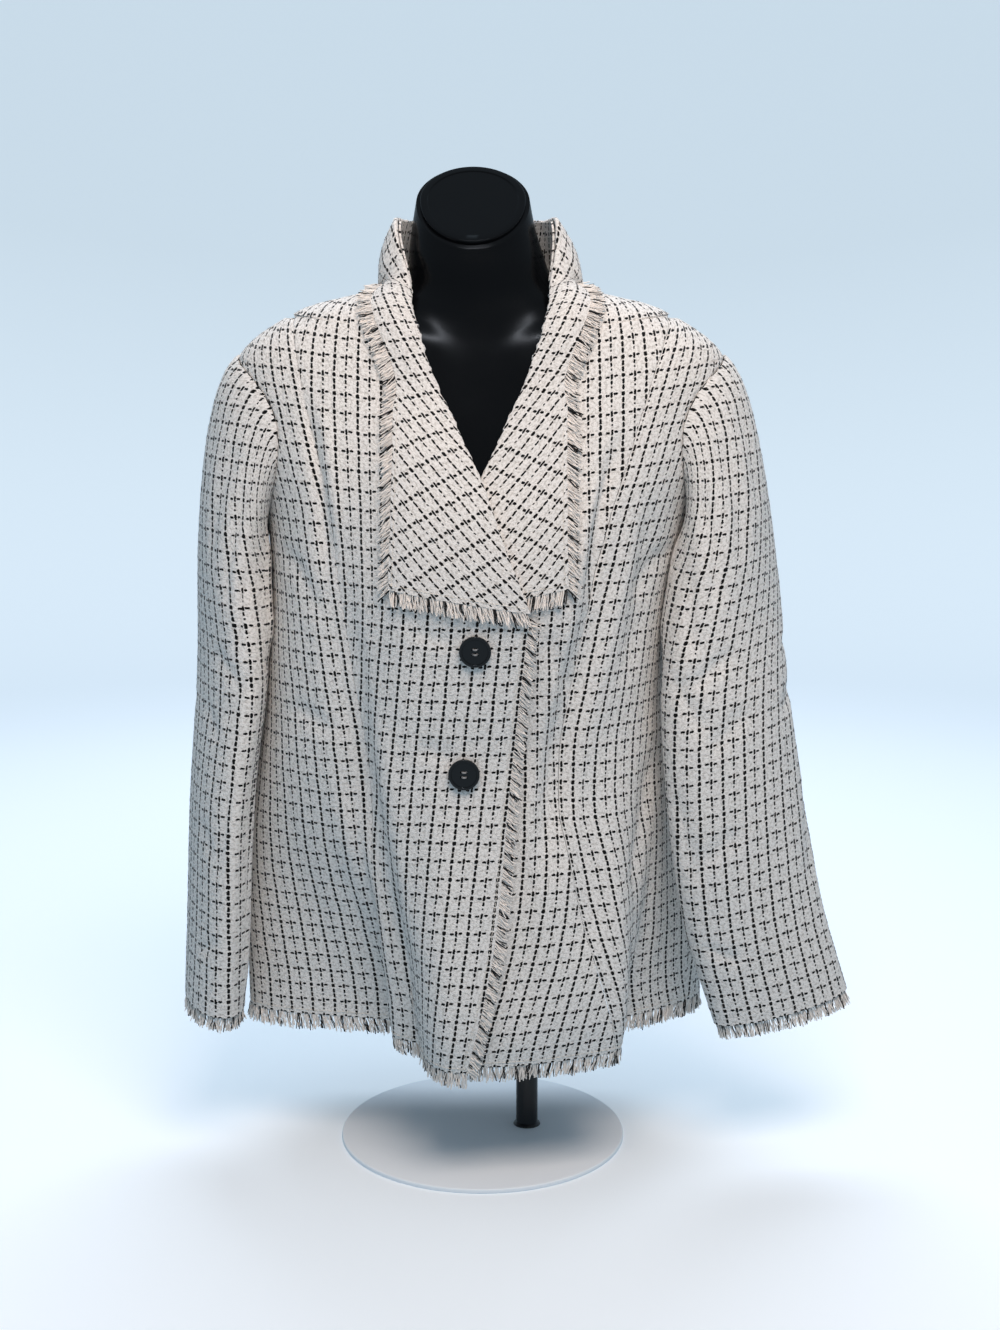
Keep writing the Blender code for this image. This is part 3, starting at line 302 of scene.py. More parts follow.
# Moulded high-impact polystyrene, black: a polished mould leaves it glossy, handling leaves haze
form_plastic, tree, shader = new_finish("moulded_black_polystyrene", "#08090b", 0.20,
                                        Specular_IOR_Level=0.12)
vary_gloss(tree, shader, HAZE_SIZE, detail=4.0, low=0.35, high=0.7, glossy=0.16, dull=0.28)
add_grain(tree, shader, MOULD_WAVE, detail=1.0, strength=0.12, depth=0.0012)

form_turns = np.arange(FORM_COLUMNS) * 2.0 * math.pi / FORM_COLUMNS
form_grid = form_points(form_turns[None, :], np.linspace(0.0, FORM_TOP, FORM_ROWS_FINE)[:, None])
add_piece("form_shell", ring_mesh("form_shell", form_grid, 45.0), form_plastic, "black_form", "form_torso")

rim = form_points(form_turns, FORM_TOP)
rim_middle = rim.mean(axis=0)
quarter = FORM_COLUMNS // 4
cap_upward = np.cross(rim[quarter] - rim_middle, rim[2 * quarter] - rim_middle)
cap_upward /= np.linalg.norm(cap_upward)
rim_radius = np.linalg.norm(rim[quarter] - rim_middle)
cap_steps = [(CAP_INSET, SEAM_GAP), (CAP_INSET, CAP_THICK - CAP_ROUND)]
cap_steps += [(CAP_INSET + inset, CAP_THICK - drop) for inset, drop in quarter_round(CAP_ROUND, 4)]
groove = CAP_INSET + CAP_GROOVE
cap_steps += [(groove, CAP_THICK), (groove + CAP_GROOVE_DEEP, CAP_THICK - CAP_GROOVE_DEEP),
              (groove + CAP_GROOVE_FLOOR, CAP_THICK - CAP_GROOVE_DEEP)]
cap_rings = [rim_middle + (rim - rim_middle) * (1.0 - inset / rim_radius) + cap_upward * height
             for inset, height in cap_steps]
add_piece("form_cap", ring_mesh("form_cap", np.array(cap_rings), 40.0), form_plastic, "black_form",
          "form_neck_cap")


# Body panels
# Cream boucle tweed cut in eight panels with princess, side and centre back seams. The wearer's
# right front laps over the left. The cloth hangs from the shoulders, and flutes toward the hem.

CLOTH_GRID = 0.0035             # spacing of the points of a panel
CLOTH_WALL = 0.0018
OVERLAP_LIFT = 0.0098
LIFT_STARTS_X = -0.105
LIFT_FULL_X = -0.055
LIFT_FADES_Z = 0.615
LIFT_GONE_Z = 0.690
HEM = 0.0
UNDERARM = 5.75
SHOULDER_TIP = 8.0
SHOULDER_SEAM_ROW = 8.98        # the side panels tuck under the centre ones as far as this
SHOULDER_SEAM_AT_PRINCESS = 8.9
TUCK_FROM = 8.80                # the tuck goes down between these levels
TUCK_OVER = 0.06
TUCK_DEPTH = 0.0022
NECK_SEAM = 11.0
FRONT_TOP_LEVEL = 12.0
ARMHOLE_INSET = math.radians(25.0)
FOLD_FADE_LEVELS = 3.0
LEVELS = (
    # name            z_front z_side z_back half_left half_right front back square
    ("hem",            0.117, 0.128, 0.124, 0.213, 0.203, 0.075, 0.145, 2.5),
    ("hip",            0.204, 0.212, 0.210, 0.212, 0.199, 0.092, 0.143, 2.4),
    ("high hip",       0.300, 0.304, 0.304, 0.207, 0.178, 0.114, 0.130, 2.3),
    ("waist",          0.395, 0.396, 0.396, 0.194, 0.162, 0.131, 0.116, 2.2),
    ("rib",            0.455, 0.456, 0.456, 0.189, 0.160, 0.140, 0.116, 2.2),
    ("bust",           0.515, 0.518, 0.518, 0.184, 0.165, 0.147, 0.121, 2.2),
    ("chest",          0.575, 0.585, 0.585, 0.188, 0.182, 0.138, 0.126, 2.3),
    ("upper chest",    0.632, 0.655, 0.650, 0.204, 0.203, 0.116, 0.124, 2.5),
    ("shoulder tip",   0.684, 0.711, 0.708, 0.208, 0.208, 0.094, 0.115, 2.6),
    ("mid shoulder",   0.722, 0.749, 0.744, 0.158, 0.158, 0.081, 0.104, 2.4),
    ("inner shoulder", 0.746, 0.763, 0.761, 0.110, 0.110, 0.069, 0.092, 2.2),
    ("neck seam",      0.760, 0.771, 0.773, 0.080, 0.078, 0.060, 0.078, 2.0),
    ("collar stand",   0.792, 0.798, 0.799, 0.073, 0.067, 0.057, 0.077, 2.0),
    ("collar fold",    0.818, 0.825, 0.828, 0.070, 0.061, 0.057, 0.077, 2.0),
)
LEVEL_ROWS = number_rows(LEVELS)
# Largest folds: a plateau between two angles with a soft ramp at each end, leaning by so many
# degrees a level, between two levels. Depth is outward; a minus sign is a hollow.
FOLDS = (
    # name                  starts  ends ramp_in ramp_out lean depth  low  high
    ("front flute",          -9.0,  44.0, 26.0, 20.0, -1.0,  0.060, -2.0, 3.1),
    ("hollow by the flute",  72.0,  80.0, 12.0, 18.0, -1.0, -0.040, -2.0, 2.9),
    ("hollow at the right", -71.0, -63.0, 19.0, 20.0,  2.0, -0.050, -2.0, 3.0),
    ("drag under left bust", 15.0,  17.0,  8.0,  8.0,  4.6, -0.010,  1.6, 7.2),
    ("drag under right bust", -38.0, -36.0, 9.0,  9.0, -1.6, -0.006,  1.6, 7.2),
    ("back flute, left",    138.0, 146.0, 18.0, 18.0,  0.0,  0.012, -2.0, 3.0),
    ("back flute, middle",  176.0, 186.0, 16.0, 16.0,  0.0, -0.009, -2.0, 3.0),
    ("back flute, right",   222.0, 230.0, 18.0, 18.0,  0.0,  0.014, -2.0, 3.0),
)
# Creases listed on the front or the back: a line from one x and height to another, how far
# it bows to the viewer's right, its half width and its depth. Minus is a trough, plus a ridge.
CREASES = (
    # face     x_from  z_from  x_to   z_to    bow    width  depth
    ("front", -0.146,  0.690, -0.128, 0.520,  0.004, 0.0060, -0.0035),
    ("front", -0.134,  0.680, -0.120, 0.560,  0.004, 0.0050,  0.0016),
    ("front", -0.113,  0.455, -0.045, 0.150, -0.010, 0.0110, -0.0050),
    ("front", -0.088,  0.440, -0.022, 0.180, -0.008, 0.0120,  0.0030),
    ("front", -0.120,  0.400, -0.105, 0.170,  0.004, 0.0100, -0.0040),
    ("front",  0.118,  0.660,  0.094, 0.505, -0.006, 0.0075, -0.0050),
    ("front",  0.102,  0.630,  0.080, 0.520, -0.004, 0.0060,  0.0022),
    ("front",  0.140,  0.610,  0.118, 0.430,  0.006, 0.0090, -0.0035),
    ("front",  0.050,  0.500,  0.085, 0.430, -0.004, 0.0080, -0.0018),
    ("front",  0.086,  0.400,  0.062, 0.200,  0.006, 0.0120, -0.0035),
    ("front",  0.030,  0.330,  0.018, 0.130,  0.003, 0.0090, -0.0022),
    ("front", -0.060,  0.500, -0.010, 0.487, -0.004, 0.0070, -0.0012),
    ("front", -0.055,  0.395, -0.018, 0.380,  0.004, 0.0080, -0.0014),
    ("front",  0.150,  0.395,  0.120, 0.250,  0.006, 0.0100, -0.0040),
    ("front", -0.170,  0.560, -0.135, 0.490,  0.006, 0.0070, -0.0022),
    ("front",  0.165,  0.560,  0.130, 0.505, -0.006, 0.0070, -0.0024),
    ("front", -0.165,  0.420, -0.120, 0.398,  0.003, 0.0080, -0.0016),
    ("back",  -0.060,  0.440,  0.055, 0.420,  0.010, 0.0100, -0.0030),
    ("back",  -0.075,  0.400,  0.070, 0.388, -0.008, 0.0120, -0.0034),
    ("back",   0.130,  0.600,  0.080, 0.480,  0.008, 0.0100, -0.0035),
    ("back",  -0.125,  0.610, -0.085, 0.500, -0.008, 0.0110, -0.0032),
    ("back",   0.030,  0.360,  0.045, 0.140,  0.006, 0.0130, -0.0045),
    ("back",  -0.055,  0.350, -0.060, 0.135, -0.005, 0.0140, -0.0040),
    ("back",   0.145,  0.400,  0.100, 0.370,  0.004, 0.0090, -0.0026),
    ("back",  -0.150,  0.405, -0.095, 0.385,  0.004, 0.0090, -0.0028),
    ("back",   0.010,  0.740,  0.055, 0.690,  0.004, 0.0100, -0.0014),
)
FRONT_EDGE_Z = (0.100, 0.226, 0.371, 0.487, 0.509, 0.6065, 0.655, 0.705, 0.765, 0.800)
FRONT_EDGE_X = (-0.009, 0.008, 0.024, 0.036, 0.038, 0.001, -0.021, -0.043, -0.062, -0.066)
UNDER_EDGE_Z = (0.100, 0.480, 0.509, 0.6065, 0.655, 0.705, 0.765, 0.800)
UNDER_EDGE_X = (-0.040, -0.040, -0.038, -0.001, 0.021, 0.043, 0.062, 0.066)
PRINCESS_Z = (0.117, 0.230, 0.330, 0.400, 0.515, 0.590, 0.650, 0.700, 0.738)
PRINCESS_RIGHT = (0.098, 0.094, 0.098, 0.103, 0.119, 0.127, 0.140, 0.150, 0.158)
PRINCESS_LEFT = (0.074, 0.066, 0.064, 0.072, 0.096, 0.111, 0.128, 0.144, 0.158)
PRINCESS_BACK = (0.106, 0.092, 0.080, 0.072, 0.088, 0.104, 0.122, 0.140, 0.158)
CREASE_STRENGTH = 1.35          # every depth in the table of creases is multiplied by this
CREASE_TAPER = 0.30             # a crease rises and dies away over this share of its length
SEAM_DIP = 0.0007               # a pressed seam sinks this far
SEAM_DIP_WIDTH = 0.0022
YARN_RELIEF = 0.00016           # uneven yarn roughens the face
FINE_STEPS = 800                # points of a fine line on which lengths of the body's cloth are measured
ROUGH_STEPS = 40                # and of a rough line on which a panel's rows are measured
HALVINGS = 36                   # rounds of closing in on an angle or a level, and on both of them
PLACE_ROUNDS = 8
NARROWEST = 0.004               # for its seam gap, a panel's row counts as at least this wide
cloth_random = np.random.default_rng(7)

# Weave: one repeat of the check, charted in millimetres. Dark yarn floats to the face in
# dashes: heavy lines run up the cloth, light lines stand midway, and the weft shows beside those.
WEAVE_ACROSS = 20.0
WEAVE_ALONG = 15.3
WEAVE_DASHES = (
    # name                  across along half_across half_along
    ("knot on heavy line",    0.0,  0.0, 1.55, 1.85),
    ("dash on heavy line",    0.0,  5.2, 1.10, 2.25),
    ("dash on heavy line",    0.0, 10.2, 1.10, 2.25),
    ("dash on light line",   10.0,  0.0, 1.05, 2.45),
    ("dot on light line",    10.0,  6.1, 0.75, 0.90),
    ("second dash on light", 10.0, 10.3, 0.95, 1.85),
    ("weft dash, left",       6.5, -0.4, 1.75, 1.00),
    ("weft dash, right",     13.5,  0.4, 1.75, 1.00),
)
YARN_WANDER = 0.45              # dashes wander from the line by about this much, in waves this long
WANDER_SIZE = 26.0
YARN_FRAY = 0.42                # and their outline is frayed by this much, at this size
FRAY_SIZE = 1.3
LOOP_SIZE = 0.0024              # boucle loops, drawn about twice as coarse so that they show
SLUB_SIZE = 0.0011
LIGHT_YARN = "#f3f0ec"
# painted shade for the hollows between the loops
SHADED_YARN = "#c2bdb7"
DARK_YARN = "#100e0d"


def boucle_finish(name):
    """Boucle tweed: light curly yarn, with dark dashes charted on the piece's own flat sizes."""
    material, tree, shader = new_finish(name, LIGHT_YARN, 0.95, Sheen_Weight=0.15, Sheen_Roughness=0.5,
                                        Specular_IOR_Level=0.15)
    flat = add_node(tree, "ShaderNodeUVMap", uv_map="flat_cloth").outputs["UV"]
    wander = add_node(tree, "ShaderNodeTexNoise", {"Vector": flat, "Scale": 1000.0 / WANDER_SIZE,
                                                   "Detail": 1.0}, noise_dimensions="2D")
    fray = add_node(tree, "ShaderNodeTexNoise", {"Vector": flat, "Scale": 1000.0 / FRAY_SIZE,
                                                 "Detail": 2.0}, noise_dimensions="2D")
    moved = add_node(tree, "ShaderNodeVectorMath", {0: flat, 1: (1000.0, 1000.0, 0.0)},
                     operation="MULTIPLY").outputs["Vector"]
    for source, amount in ((wander, YARN_WANDER), (fray, YARN_FRAY)):
        centred = add_node(tree, "ShaderNodeVectorMath", {0: source.outputs["Color"], 1: (0.5, 0.5, 0.5)},
                           operation="SUBTRACT")
        scaled = add_node(tree, "ShaderNodeVectorMath",
                          {0: centred.outputs["Vector"], 1: (3.0 * amount, 3.0 * amount, 0.0)},
                          operation="MULTIPLY")
        moved = add_node(tree, "ShaderNodeVectorMath", {0: moved, 1: scaled.outputs["Vector"]},
                         operation="ADD").outputs["Vector"]
    split = add_node(tree, "ShaderNodeSeparateXYZ", {"Vector": moved})

    def calculate(operation, *values):
        return add_node(tree, "ShaderNodeMath", dict(enumerate(values)), operation=operation).outputs[0]

    # A dash is dark where the powers of the shares of its half sizes add up to less than 1
    nearest = None
    for _, across, along, half_across, half_along in WEAVE_DASHES:
        terms = []
        for axis, middle, half, repeat, power in (("X", across, half_across, WEAVE_ACROSS, 2.0),
                                                  ("Y", along, half_along, WEAVE_ALONG, 4.0)):
            offset = calculate("SUBTRACT", split.outputs[axis], middle)
            wrapped = calculate("WRAP", offset, 0.5 * repeat, -0.5 * repeat)
            share = calculate("ABSOLUTE", calculate("DIVIDE", wrapped, half))
            terms.append(calculate("POWER", share, power))
        reach = calculate("ADD", *terms)
        nearest = calculate("MINIMUM", nearest, reach) if nearest else reach
    dark = add_node(tree, "ShaderNodeMapRange", {"Value": nearest, "From Min": 0.85, "From Max": 1.15,
                                                 "To Min": 1.0, "To Max": 0.0},
                    interpolation_type="SMOOTHSTEP").outputs["Result"]
    loops = add_node(tree, "ShaderNodeTexNoise", {"Vector": flat, "Scale": 1.0 / LOOP_SIZE, "Detail": 3.0,
                                                  "Roughness": 0.65}, noise_dimensions="2D").outputs["Fac"]
    slubs = add_node(tree, "ShaderNodeTexVoronoi", {"Vector": flat, "Scale": 1.0 / SLUB_SIZE},
                     voronoi_dimensions="2D").outputs["Distance"]
    # painted shade: the yarn turns to the shaded colour where the loops' bump sinks, and to the light one
    # where it rises
    tone = add_node(tree, "ShaderNodeMapRange", {"Value": loops, "From Min": 0.28, "From Max": 0.56})
    light = add_node(tree, "ShaderNodeMix", {"Factor": tone.outputs["Result"], "A": linear(SHADED_YARN),
                                             "B": linear(LIGHT_YARN)}, data_type="RGBA")
    colour = add_node(tree, "ShaderNodeMix", {"Factor": dark, "A": light.outputs["Result"],
                                              "B": linear(DARK_YARN)}, data_type="RGBA")
    tree.links.new(colour.outputs["Result"], shader.inputs["Base Color"])
    raised = calculate("MULTIPLY_ADD", dark, 0.6, calculate("ADD", slubs, loops))
    bump = add_node(tree, "ShaderNodeBump", {"Height": raised, "Strength": 0.55, "Distance": 0.0009})
    tree.links.new(bump.outputs["Normal"], shader.inputs["Normal"])
    return material


# Boucle tweed, woven from curly yarn: matt and pebbly, with a soft sheen, uneven dark dashes and painted
# shade in the hollows of its loops
boucle = boucle_finish("cream_boucle_tweed")


def fold_depth(angle, level):
    """How far the largest folds push the cloth out at each place."""
    degrees = np.degrees(angle)
    total = np.zeros_like(degrees)
    for _, starts, ends, ramp_in, ramp_out, lean, depth, low, high in FOLDS:
        middle = 0.5 * (starts + ends) + lean * level
        turned = (degrees - middle + 180.0) % 360.0 - 180.0
        half_plateau = 0.5 * (ends - starts)
        rise = soft_step(1.0 + (turned + half_plateau) / ramp_in)
        fall = soft_step(1.0 - (turned - half_plateau) / ramp_out)
        lower_end = soft_step(level - low)
        upper_end = soft_step((high - level) / min(high - low, FOLD_FADE_LEVELS))
        total += depth * rise * fall * lower_end * upper_end
    return total


def body_points(angle, level):
    """Points of the body's cloth with its largest folds."""
    angle, level = np.broadcast_arrays(np.asarray(angle, float), np.asarray(level, float))
    outward = np.stack((np.sin(angle), -np.cos(angle), np.zeros_like(angle)), axis=-1)
    return section_points(LEVEL_ROWS, angle, level) + fold_depth(angle, level)[..., None] * outward


def unit(vectors):
    """The vectors at length 1."""
    return vectors / np.linalg.norm(vectors, axis=-1, keepdims=True)


def body_normals(angle, level):
    """Outward normals of the body's cloth."""
    small_turn = 0.012
    small_rise = 0.03
    across = body_points(angle + small_turn, level) - body_points(angle - small_turn, level)
    upward = body_points(angle, level + small_rise) - body_points(angle, level - small_rise)
    return unit(np.cross(across, upward))


def on_body(angle, level, lift):
    """Points of the body's cloth, moved out along the cloth's normal."""
    return body_points(angle, level) + np.asarray(lift)[..., None] * body_normals(angle, level)


def overlap_lift(angle, level):
    """Height of the overlapping front above the plain body."""
    points = section_points(LEVEL_ROWS, angle, level)
    across = soft_step((points[..., 0] - LIFT_STARTS_X) / (LIFT_FULL_X - LIFT_STARTS_X))
    fading = soft_step((LIFT_GONE_Z - points[..., 2]) / (LIFT_GONE_Z - LIFT_FADES_Z))
    return OVERLAP_LIFT * across * fading


def no_lift(angle, level):
    return np.zeros(np.broadcast(angle, level).shape)


def crease_depth(angle, level):
    """Sum of the listed creases at each place."""
    points = section_points(LEVEL_ROWS, angle, level)
    facing = np.cos(angle)
    total = np.zeros(points.shape[:-1])
    for face, x_from, z_from, x_to, z_to, bow, width, depth in CREASES:
        along = np.array((x_to - x_from, z_to - z_from))
        length = np.linalg.norm(along)
        along = along / length
        away = np.array((-along[1], along[0]))
        x = points[..., 0] - x_from
        z = points[..., 2] - z_from
        share = (x * along[0] + z * along[1]) / length
        aside = x * away[0] + z * away[1]
        bend = bow * np.sin(math.pi * np.clip(share, 0.0, 1.0)) * np.sign(away[0] + 1e-9)
        inside = soft_step(share / CREASE_TAPER) * soft_step((1.0 - share) / CREASE_TAPER)
        on_face = soft_step(0.5 + 3.0 * facing * (1.0 if face == "front" else -1.0))
        total += depth * np.exp(-((aside - bend) / width) ** 2) * inside * on_face
    return CREASE_STRENGTH * total


def halving(is_beyond, low, high):
    """The places between low and high where the test turns true."""
    for _ in range(HALVINGS):
        middle = 0.5 * (low + high)
        beyond = is_beyond(middle)
        high = np.where(beyond, middle, high)
        low = np.where(beyond, low, middle)
    return 0.5 * (low + high)


def angle_on_line(level, line_z, line_x):
    """Angle at which a line drawn on the front (x by height) meets each level."""
    level = np.asarray(level, float)

    def is_beyond(angle):
        points = section_points(LEVEL_ROWS, angle, level)
        return points[..., 0] > np.interp(points[..., 2], line_z, line_x)
    return halving(is_beyond, np.full_like(level, -0.5 * math.pi), np.full_like(level, 0.5 * math.pi))


def place_on_front(x, z):
    """Angle and level of a point on the front given by x and height."""
    level = np.array(0.5 * FRONT_TOP_LEVEL)
    angle = np.array(0.0)
    for _ in range(PLACE_ROUNDS):
        angle = halving(lambda turn: section_points(LEVEL_ROWS, turn, level)[..., 0] > x,
                        np.array(-0.5 * math.pi), np.array(0.5 * math.pi))
        level = halving(lambda rise: section_points(LEVEL_ROWS, angle, rise)[..., 2] > z,
                        np.array(0.0), np.array(FRONT_TOP_LEVEL))
    return float(angle), float(level)


def armhole_angle(level):
    """Angle of the armhole's front edge: it is cut in between the underarm and the shoulder's tip."""
    share = np.clip((level - UNDERARM) / (SHOULDER_TIP - UNDERARM), 0.0, 1.0)
    return 0.5 * math.pi - ARMHOLE_INSET * np.sqrt(np.maximum(np.sin(math.pi * share), 0.0))


def princess_angle(level, distances, side):
    """Angle of a front princess seam, and above it of the shoulder seam."""
    drawn = angle_on_line(level, PRINCESS_Z, [side * distance for distance in distances])
    return np.where(level >= SHOULDER_SEAM_AT_PRINCESS, side * 0.5 * math.pi, drawn)


def back_princess_angle(level):
    """Angle of the back princess seam from the back's middle, on either side."""
    def is_beyond(turn):
        points = section_points(LEVEL_ROWS, math.pi - turn, level)
        return points[..., 0] > np.interp(points[..., 2], PRINCESS_Z, PRINCESS_BACK)
    drawn = halving(is_beyond, np.zeros_like(level), np.full_like(level, 0.5 * math.pi))
    return np.where(level >= SHOULDER_SEAM_AT_PRINCESS, 0.5 * math.pi, drawn)


def lengths_along(points, axis):
    """Length of cloth from the first row or column of a grid to each point."""
    steps = np.linalg.norm(np.diff(points, axis=axis), axis=-1)
    total = np.cumsum(steps, axis=axis)
    first = np.zeros_like(np.take(total, [0], axis=axis))
    return np.concatenate((first, total), axis=axis)


def grid_normals(points):
    """Normals of a grid of points."""
    across = np.gradient(points, axis=1)
    upward = np.gradient(points, axis=0)
    return unit(np.cross(across, upward))


def shell_mesh(name, outer, wall, flat):
    """A thin closed shell under a grid of points; flat holds each point's place on the flat cloth."""
    rows, columns = outer.shape[:2]
    inner = outer - wall * grid_normals(outer)
    count = rows * columns
    index = np.arange(count).reshape(rows, columns)
    quads = np.stack((index[:-1, :-1], index[:-1, 1:], index[1:, 1:], index[1:, :-1]), axis=-1)
    quads = quads.reshape(-1, 4)
    rim = np.concatenate((index[0, :-1], index[:-1, -1], index[-1, :0:-1], index[:0:-1, 0]))
    ahead = np.roll(rim, -1)
    sides = np.stack((ahead, rim, rim + count, ahead + count), axis=-1)
    faces = np.concatenate((quads, quads[:, ::-1] + count, sides))
    points = np.concatenate((outer.reshape(-1, 3), inner.reshape(-1, 3)))
    mesh = bpy.data.meshes.new(name)
    mesh.from_pydata(points.tolist(), [], faces.tolist())
    places = np.concatenate((flat.reshape(-1, 2), flat.reshape(-1, 2)))
    layer = mesh.uv_layers.new(name="flat_cloth")
    layer.data.foreach_set("uv", places[faces.reshape(-1)].reshape(-1))
    mesh.update()
    mesh.shade_smooth()
    mesh.set_sharp_from_angle(angle=math.radians(60.0))
    return mesh


def even_levels(top_level):
    """Levels from the hem up, spaced evenly along the cloth."""
    fine = np.linspace(HEM, top_level, FINE_STEPS)
    run = lengths_along(body_points(0.5 * math.pi, fine)[:, None], 0)[:, 0]
    count = int(math.ceil(run[-1] / CLOTH_GRID)) + 1
    return np.interp(np.linspace(0.0, run[-1], count), run, fine)


WEFT_LINE = math.radians(35.0)  # the check's height is measured along this line of the front or back


def weft_heights(levels, is_front):
    """Length of cloth from the hem up to each level, so that the check meets at every seam."""
    fine = np.linspace(HEM, NECK_SEAM, FINE_STEPS)
    turn = WEFT_LINE if is_front else math.pi - WEFT_LINE
    run = lengths_along(section_points(LEVEL_ROWS, turn, fine)[:, None], 0)[:, 0]
    return np.interp(levels, fine, run)


def body_panel(name, top_level, left_edge, right_edge, lift, grain, grain_line, seams, phase):
    """A body panel between two seam lines. The check runs along a line drawn as x by height, measured
    from the panel's first or last column (grain), or along that column where no line is drawn."""
    levels = even_levels(top_level)
    left = left_edge(levels)
    right = right_edge(levels)
    rough_turns = left[:, None] + (right - left)[:, None] * np.linspace(0.0, 1.0, ROUGH_STEPS)
    widths = lengths_along(body_points(rough_turns, levels[:, None]), 1)[:, -1]
    half_gap = 0.5 * SEAM_GAP / np.maximum(widths, NARROWEST) * (right - left)
    left = left + half_gap
    right = right - half_gap
    columns = int(math.ceil(widths.max() / CLOTH_GRID)) + 1
    shares = np.linspace(0.0, 1.0, columns)
    angle = left[:, None] + (right - left)[:, None] * shares
    level = np.broadcast_to(levels[:, None], angle.shape)
    plain = on_body(angle, level, lift(angle, level))
    from_left = lengths_along(plain, 1)
    from_right = from_left[:, -1:] - from_left
    dip = np.zeros_like(from_left)
    for has_seam, distance in zip(seams, (from_left, from_right)):
        if has_seam:
            dip += np.exp(-(distance / SEAM_DIP_WIDTH) ** 2)
    relief = YARN_RELIEF * cloth_random.standard_normal(angle.shape)
    moved = crease_depth(angle, level) - SEAM_DIP * dip + relief
    if top_level == SHOULDER_SEAM_ROW:
        moved -= TUCK_DEPTH * soft_step((level - TUCK_FROM) / TUCK_OVER)
    outer = plain + moved[..., None] * body_normals(angle, level)
    start = from_left[:, grain]
    if grain_line:
        start = start + np.interp(plain[:, grain, 2], *grain_line) - plain[:, grain, 0]
    across = from_left - start[:, None] + phase
    flat = np.stack((across, weft_heights(level, name.startswith("front"))), axis=-1)
    mesh = shell_mesh(name, outer, CLOTH_WALL, flat)
    piece = add_piece(name + "_cloth", mesh, boucle, "boucle_cloth", name)


# The fronts' grain lines follow the front edge up to the collar's end, and are plumb above it
STRAIGHT_EDGE = (FRONT_EDGE_Z[:5], FRONT_EDGE_X[:5])
STRAIGHT_UNDER_EDGE = (UNDER_EDGE_Z[:3], UNDER_EDGE_X[:3])
body_panel("front_centre_right", NECK_SEAM, lambda level: princess_angle(level, PRINCESS_RIGHT, -1.0),
           lambda level: angle_on_line(level, FRONT_EDGE_Z, FRONT_EDGE_X), overlap_lift,
           -1, STRAIGHT_EDGE, (True, False), 0.0)
body_panel("front_centre_left", NECK_SEAM, lambda level: angle_on_line(level, UNDER_EDGE_Z, UNDER_EDGE_X),
           lambda level: princess_angle(level, PRINCESS_LEFT, 1.0), no_lift,
           0, STRAIGHT_UNDER_EDGE, (False, True), 0.003)
body_panel("front_side_right", SHOULDER_SEAM_ROW, lambda level: -armhole_angle(level),
           lambda level: princess_angle(level, PRINCESS_RIGHT, -1.0), overlap_lift,
           -1, None, (True, True), 0.006)
body_panel("front_side_left", SHOULDER_SEAM_ROW, lambda level: princess_angle(level, PRINCESS_LEFT, 1.0),
           armhole_angle, no_lift, 0, None, (True, True), 0.008)
body_panel("back_centre_left", NECK_SEAM, lambda level: math.pi - back_princess_angle(level),
           lambda level: np.full_like(level, math.pi), no_lift, -1, None, (True, True), 0.005)
body_panel("back_centre_right", NECK_SEAM, lambda level: np.full_like(level, math.pi),
           lambda level: math.pi + back_princess_angle(level), no_lift, 0, None, (True, True), 0.005)
body_panel("back_side_left", SHOULDER_SEAM_ROW, lambda level: math.pi - armhole_angle(level),
           lambda level: math.pi - back_princess_angle(level), no_lift, -1, None, (True, True), 0.001)
body_panel("back_side_right", SHOULDER_SEAM_ROW, lambda level: math.pi + back_princess_angle(level),
           lambda level: math.pi + armhole_angle(level), no_lift, 0, None, (True, True), 0.007)


# Sleeves
# Two-piece sleeves of the same tweed, sewn into the armholes with a little ease over the cap. Each
# hangs beside the body with drag creases at the cap and the elbow; the left cuff is turned forward.

SLEEVE_RIGHT = (
    # name         z      x        y     half_across half_deep turn slope
    ("upper arm", 0.520, -0.2195, -0.008, 0.0270, 0.075, 14.0, 0.00),
    ("elbow",     0.430, -0.2205, -0.016, 0.0255, 0.070, 20.0, 0.02),
    ("forearm",   0.320, -0.2335, -0.018, 0.0220, 0.068, 18.0, 0.04),
    ("low arm",   0.220, -0.2390, -0.018, 0.0220, 0.063, 18.0, 0.06),
    ("cuff",      0.139, -0.2425, -0.018, 0.0240, 0.056, 16.0, 0.08),
)
SLEEVE_LEFT = (
    # name         z      x       y     half_across half_deep turn slope
    ("upper arm", 0.525, 0.2130, -0.023, 0.0370, 0.076, 26.0, 0.02),
    ("elbow",     0.430, 0.2115, -0.042, 0.0390, 0.069, 45.0, 0.06),
    ("forearm",   0.320, 0.2235, -0.049, 0.0350, 0.069, 56.0, 0.10),
    ("low arm",   0.225, 0.2405, -0.048, 0.0300, 0.066, 64.0, 0.14),
    ("cuff",      0.139, 0.2670, -0.042, 0.0250, 0.063, 70.0, 0.16),
)
SLEEVE_END = 5.0
SLEEVE_STEP = math.pi / 7
SLEEVE_SEAM_FRONT = 5 * SLEEVE_STEP
SLEEVE_SEAM_BACK = 9 * SLEEVE_STEP
SLEEVE_MEAN_RADIUS = 0.035
CAP_SWELL_OUT = 0.32
CAP_LEAVES_OUT = 0.10
CAP_LEAVES_AHEAD = 0.10
CAP_LEAVES_DOWN = 0.25
CAP_SWELL_DOWN = 0.05
CAP_ARRIVES = 1.1
CAP_BLEND = 0.3                 # the sleeve's normals leave the body's over this share of a row
CAP_TOP_BLEND = 1.2
CAP_MEASURED_OVER = 0.2
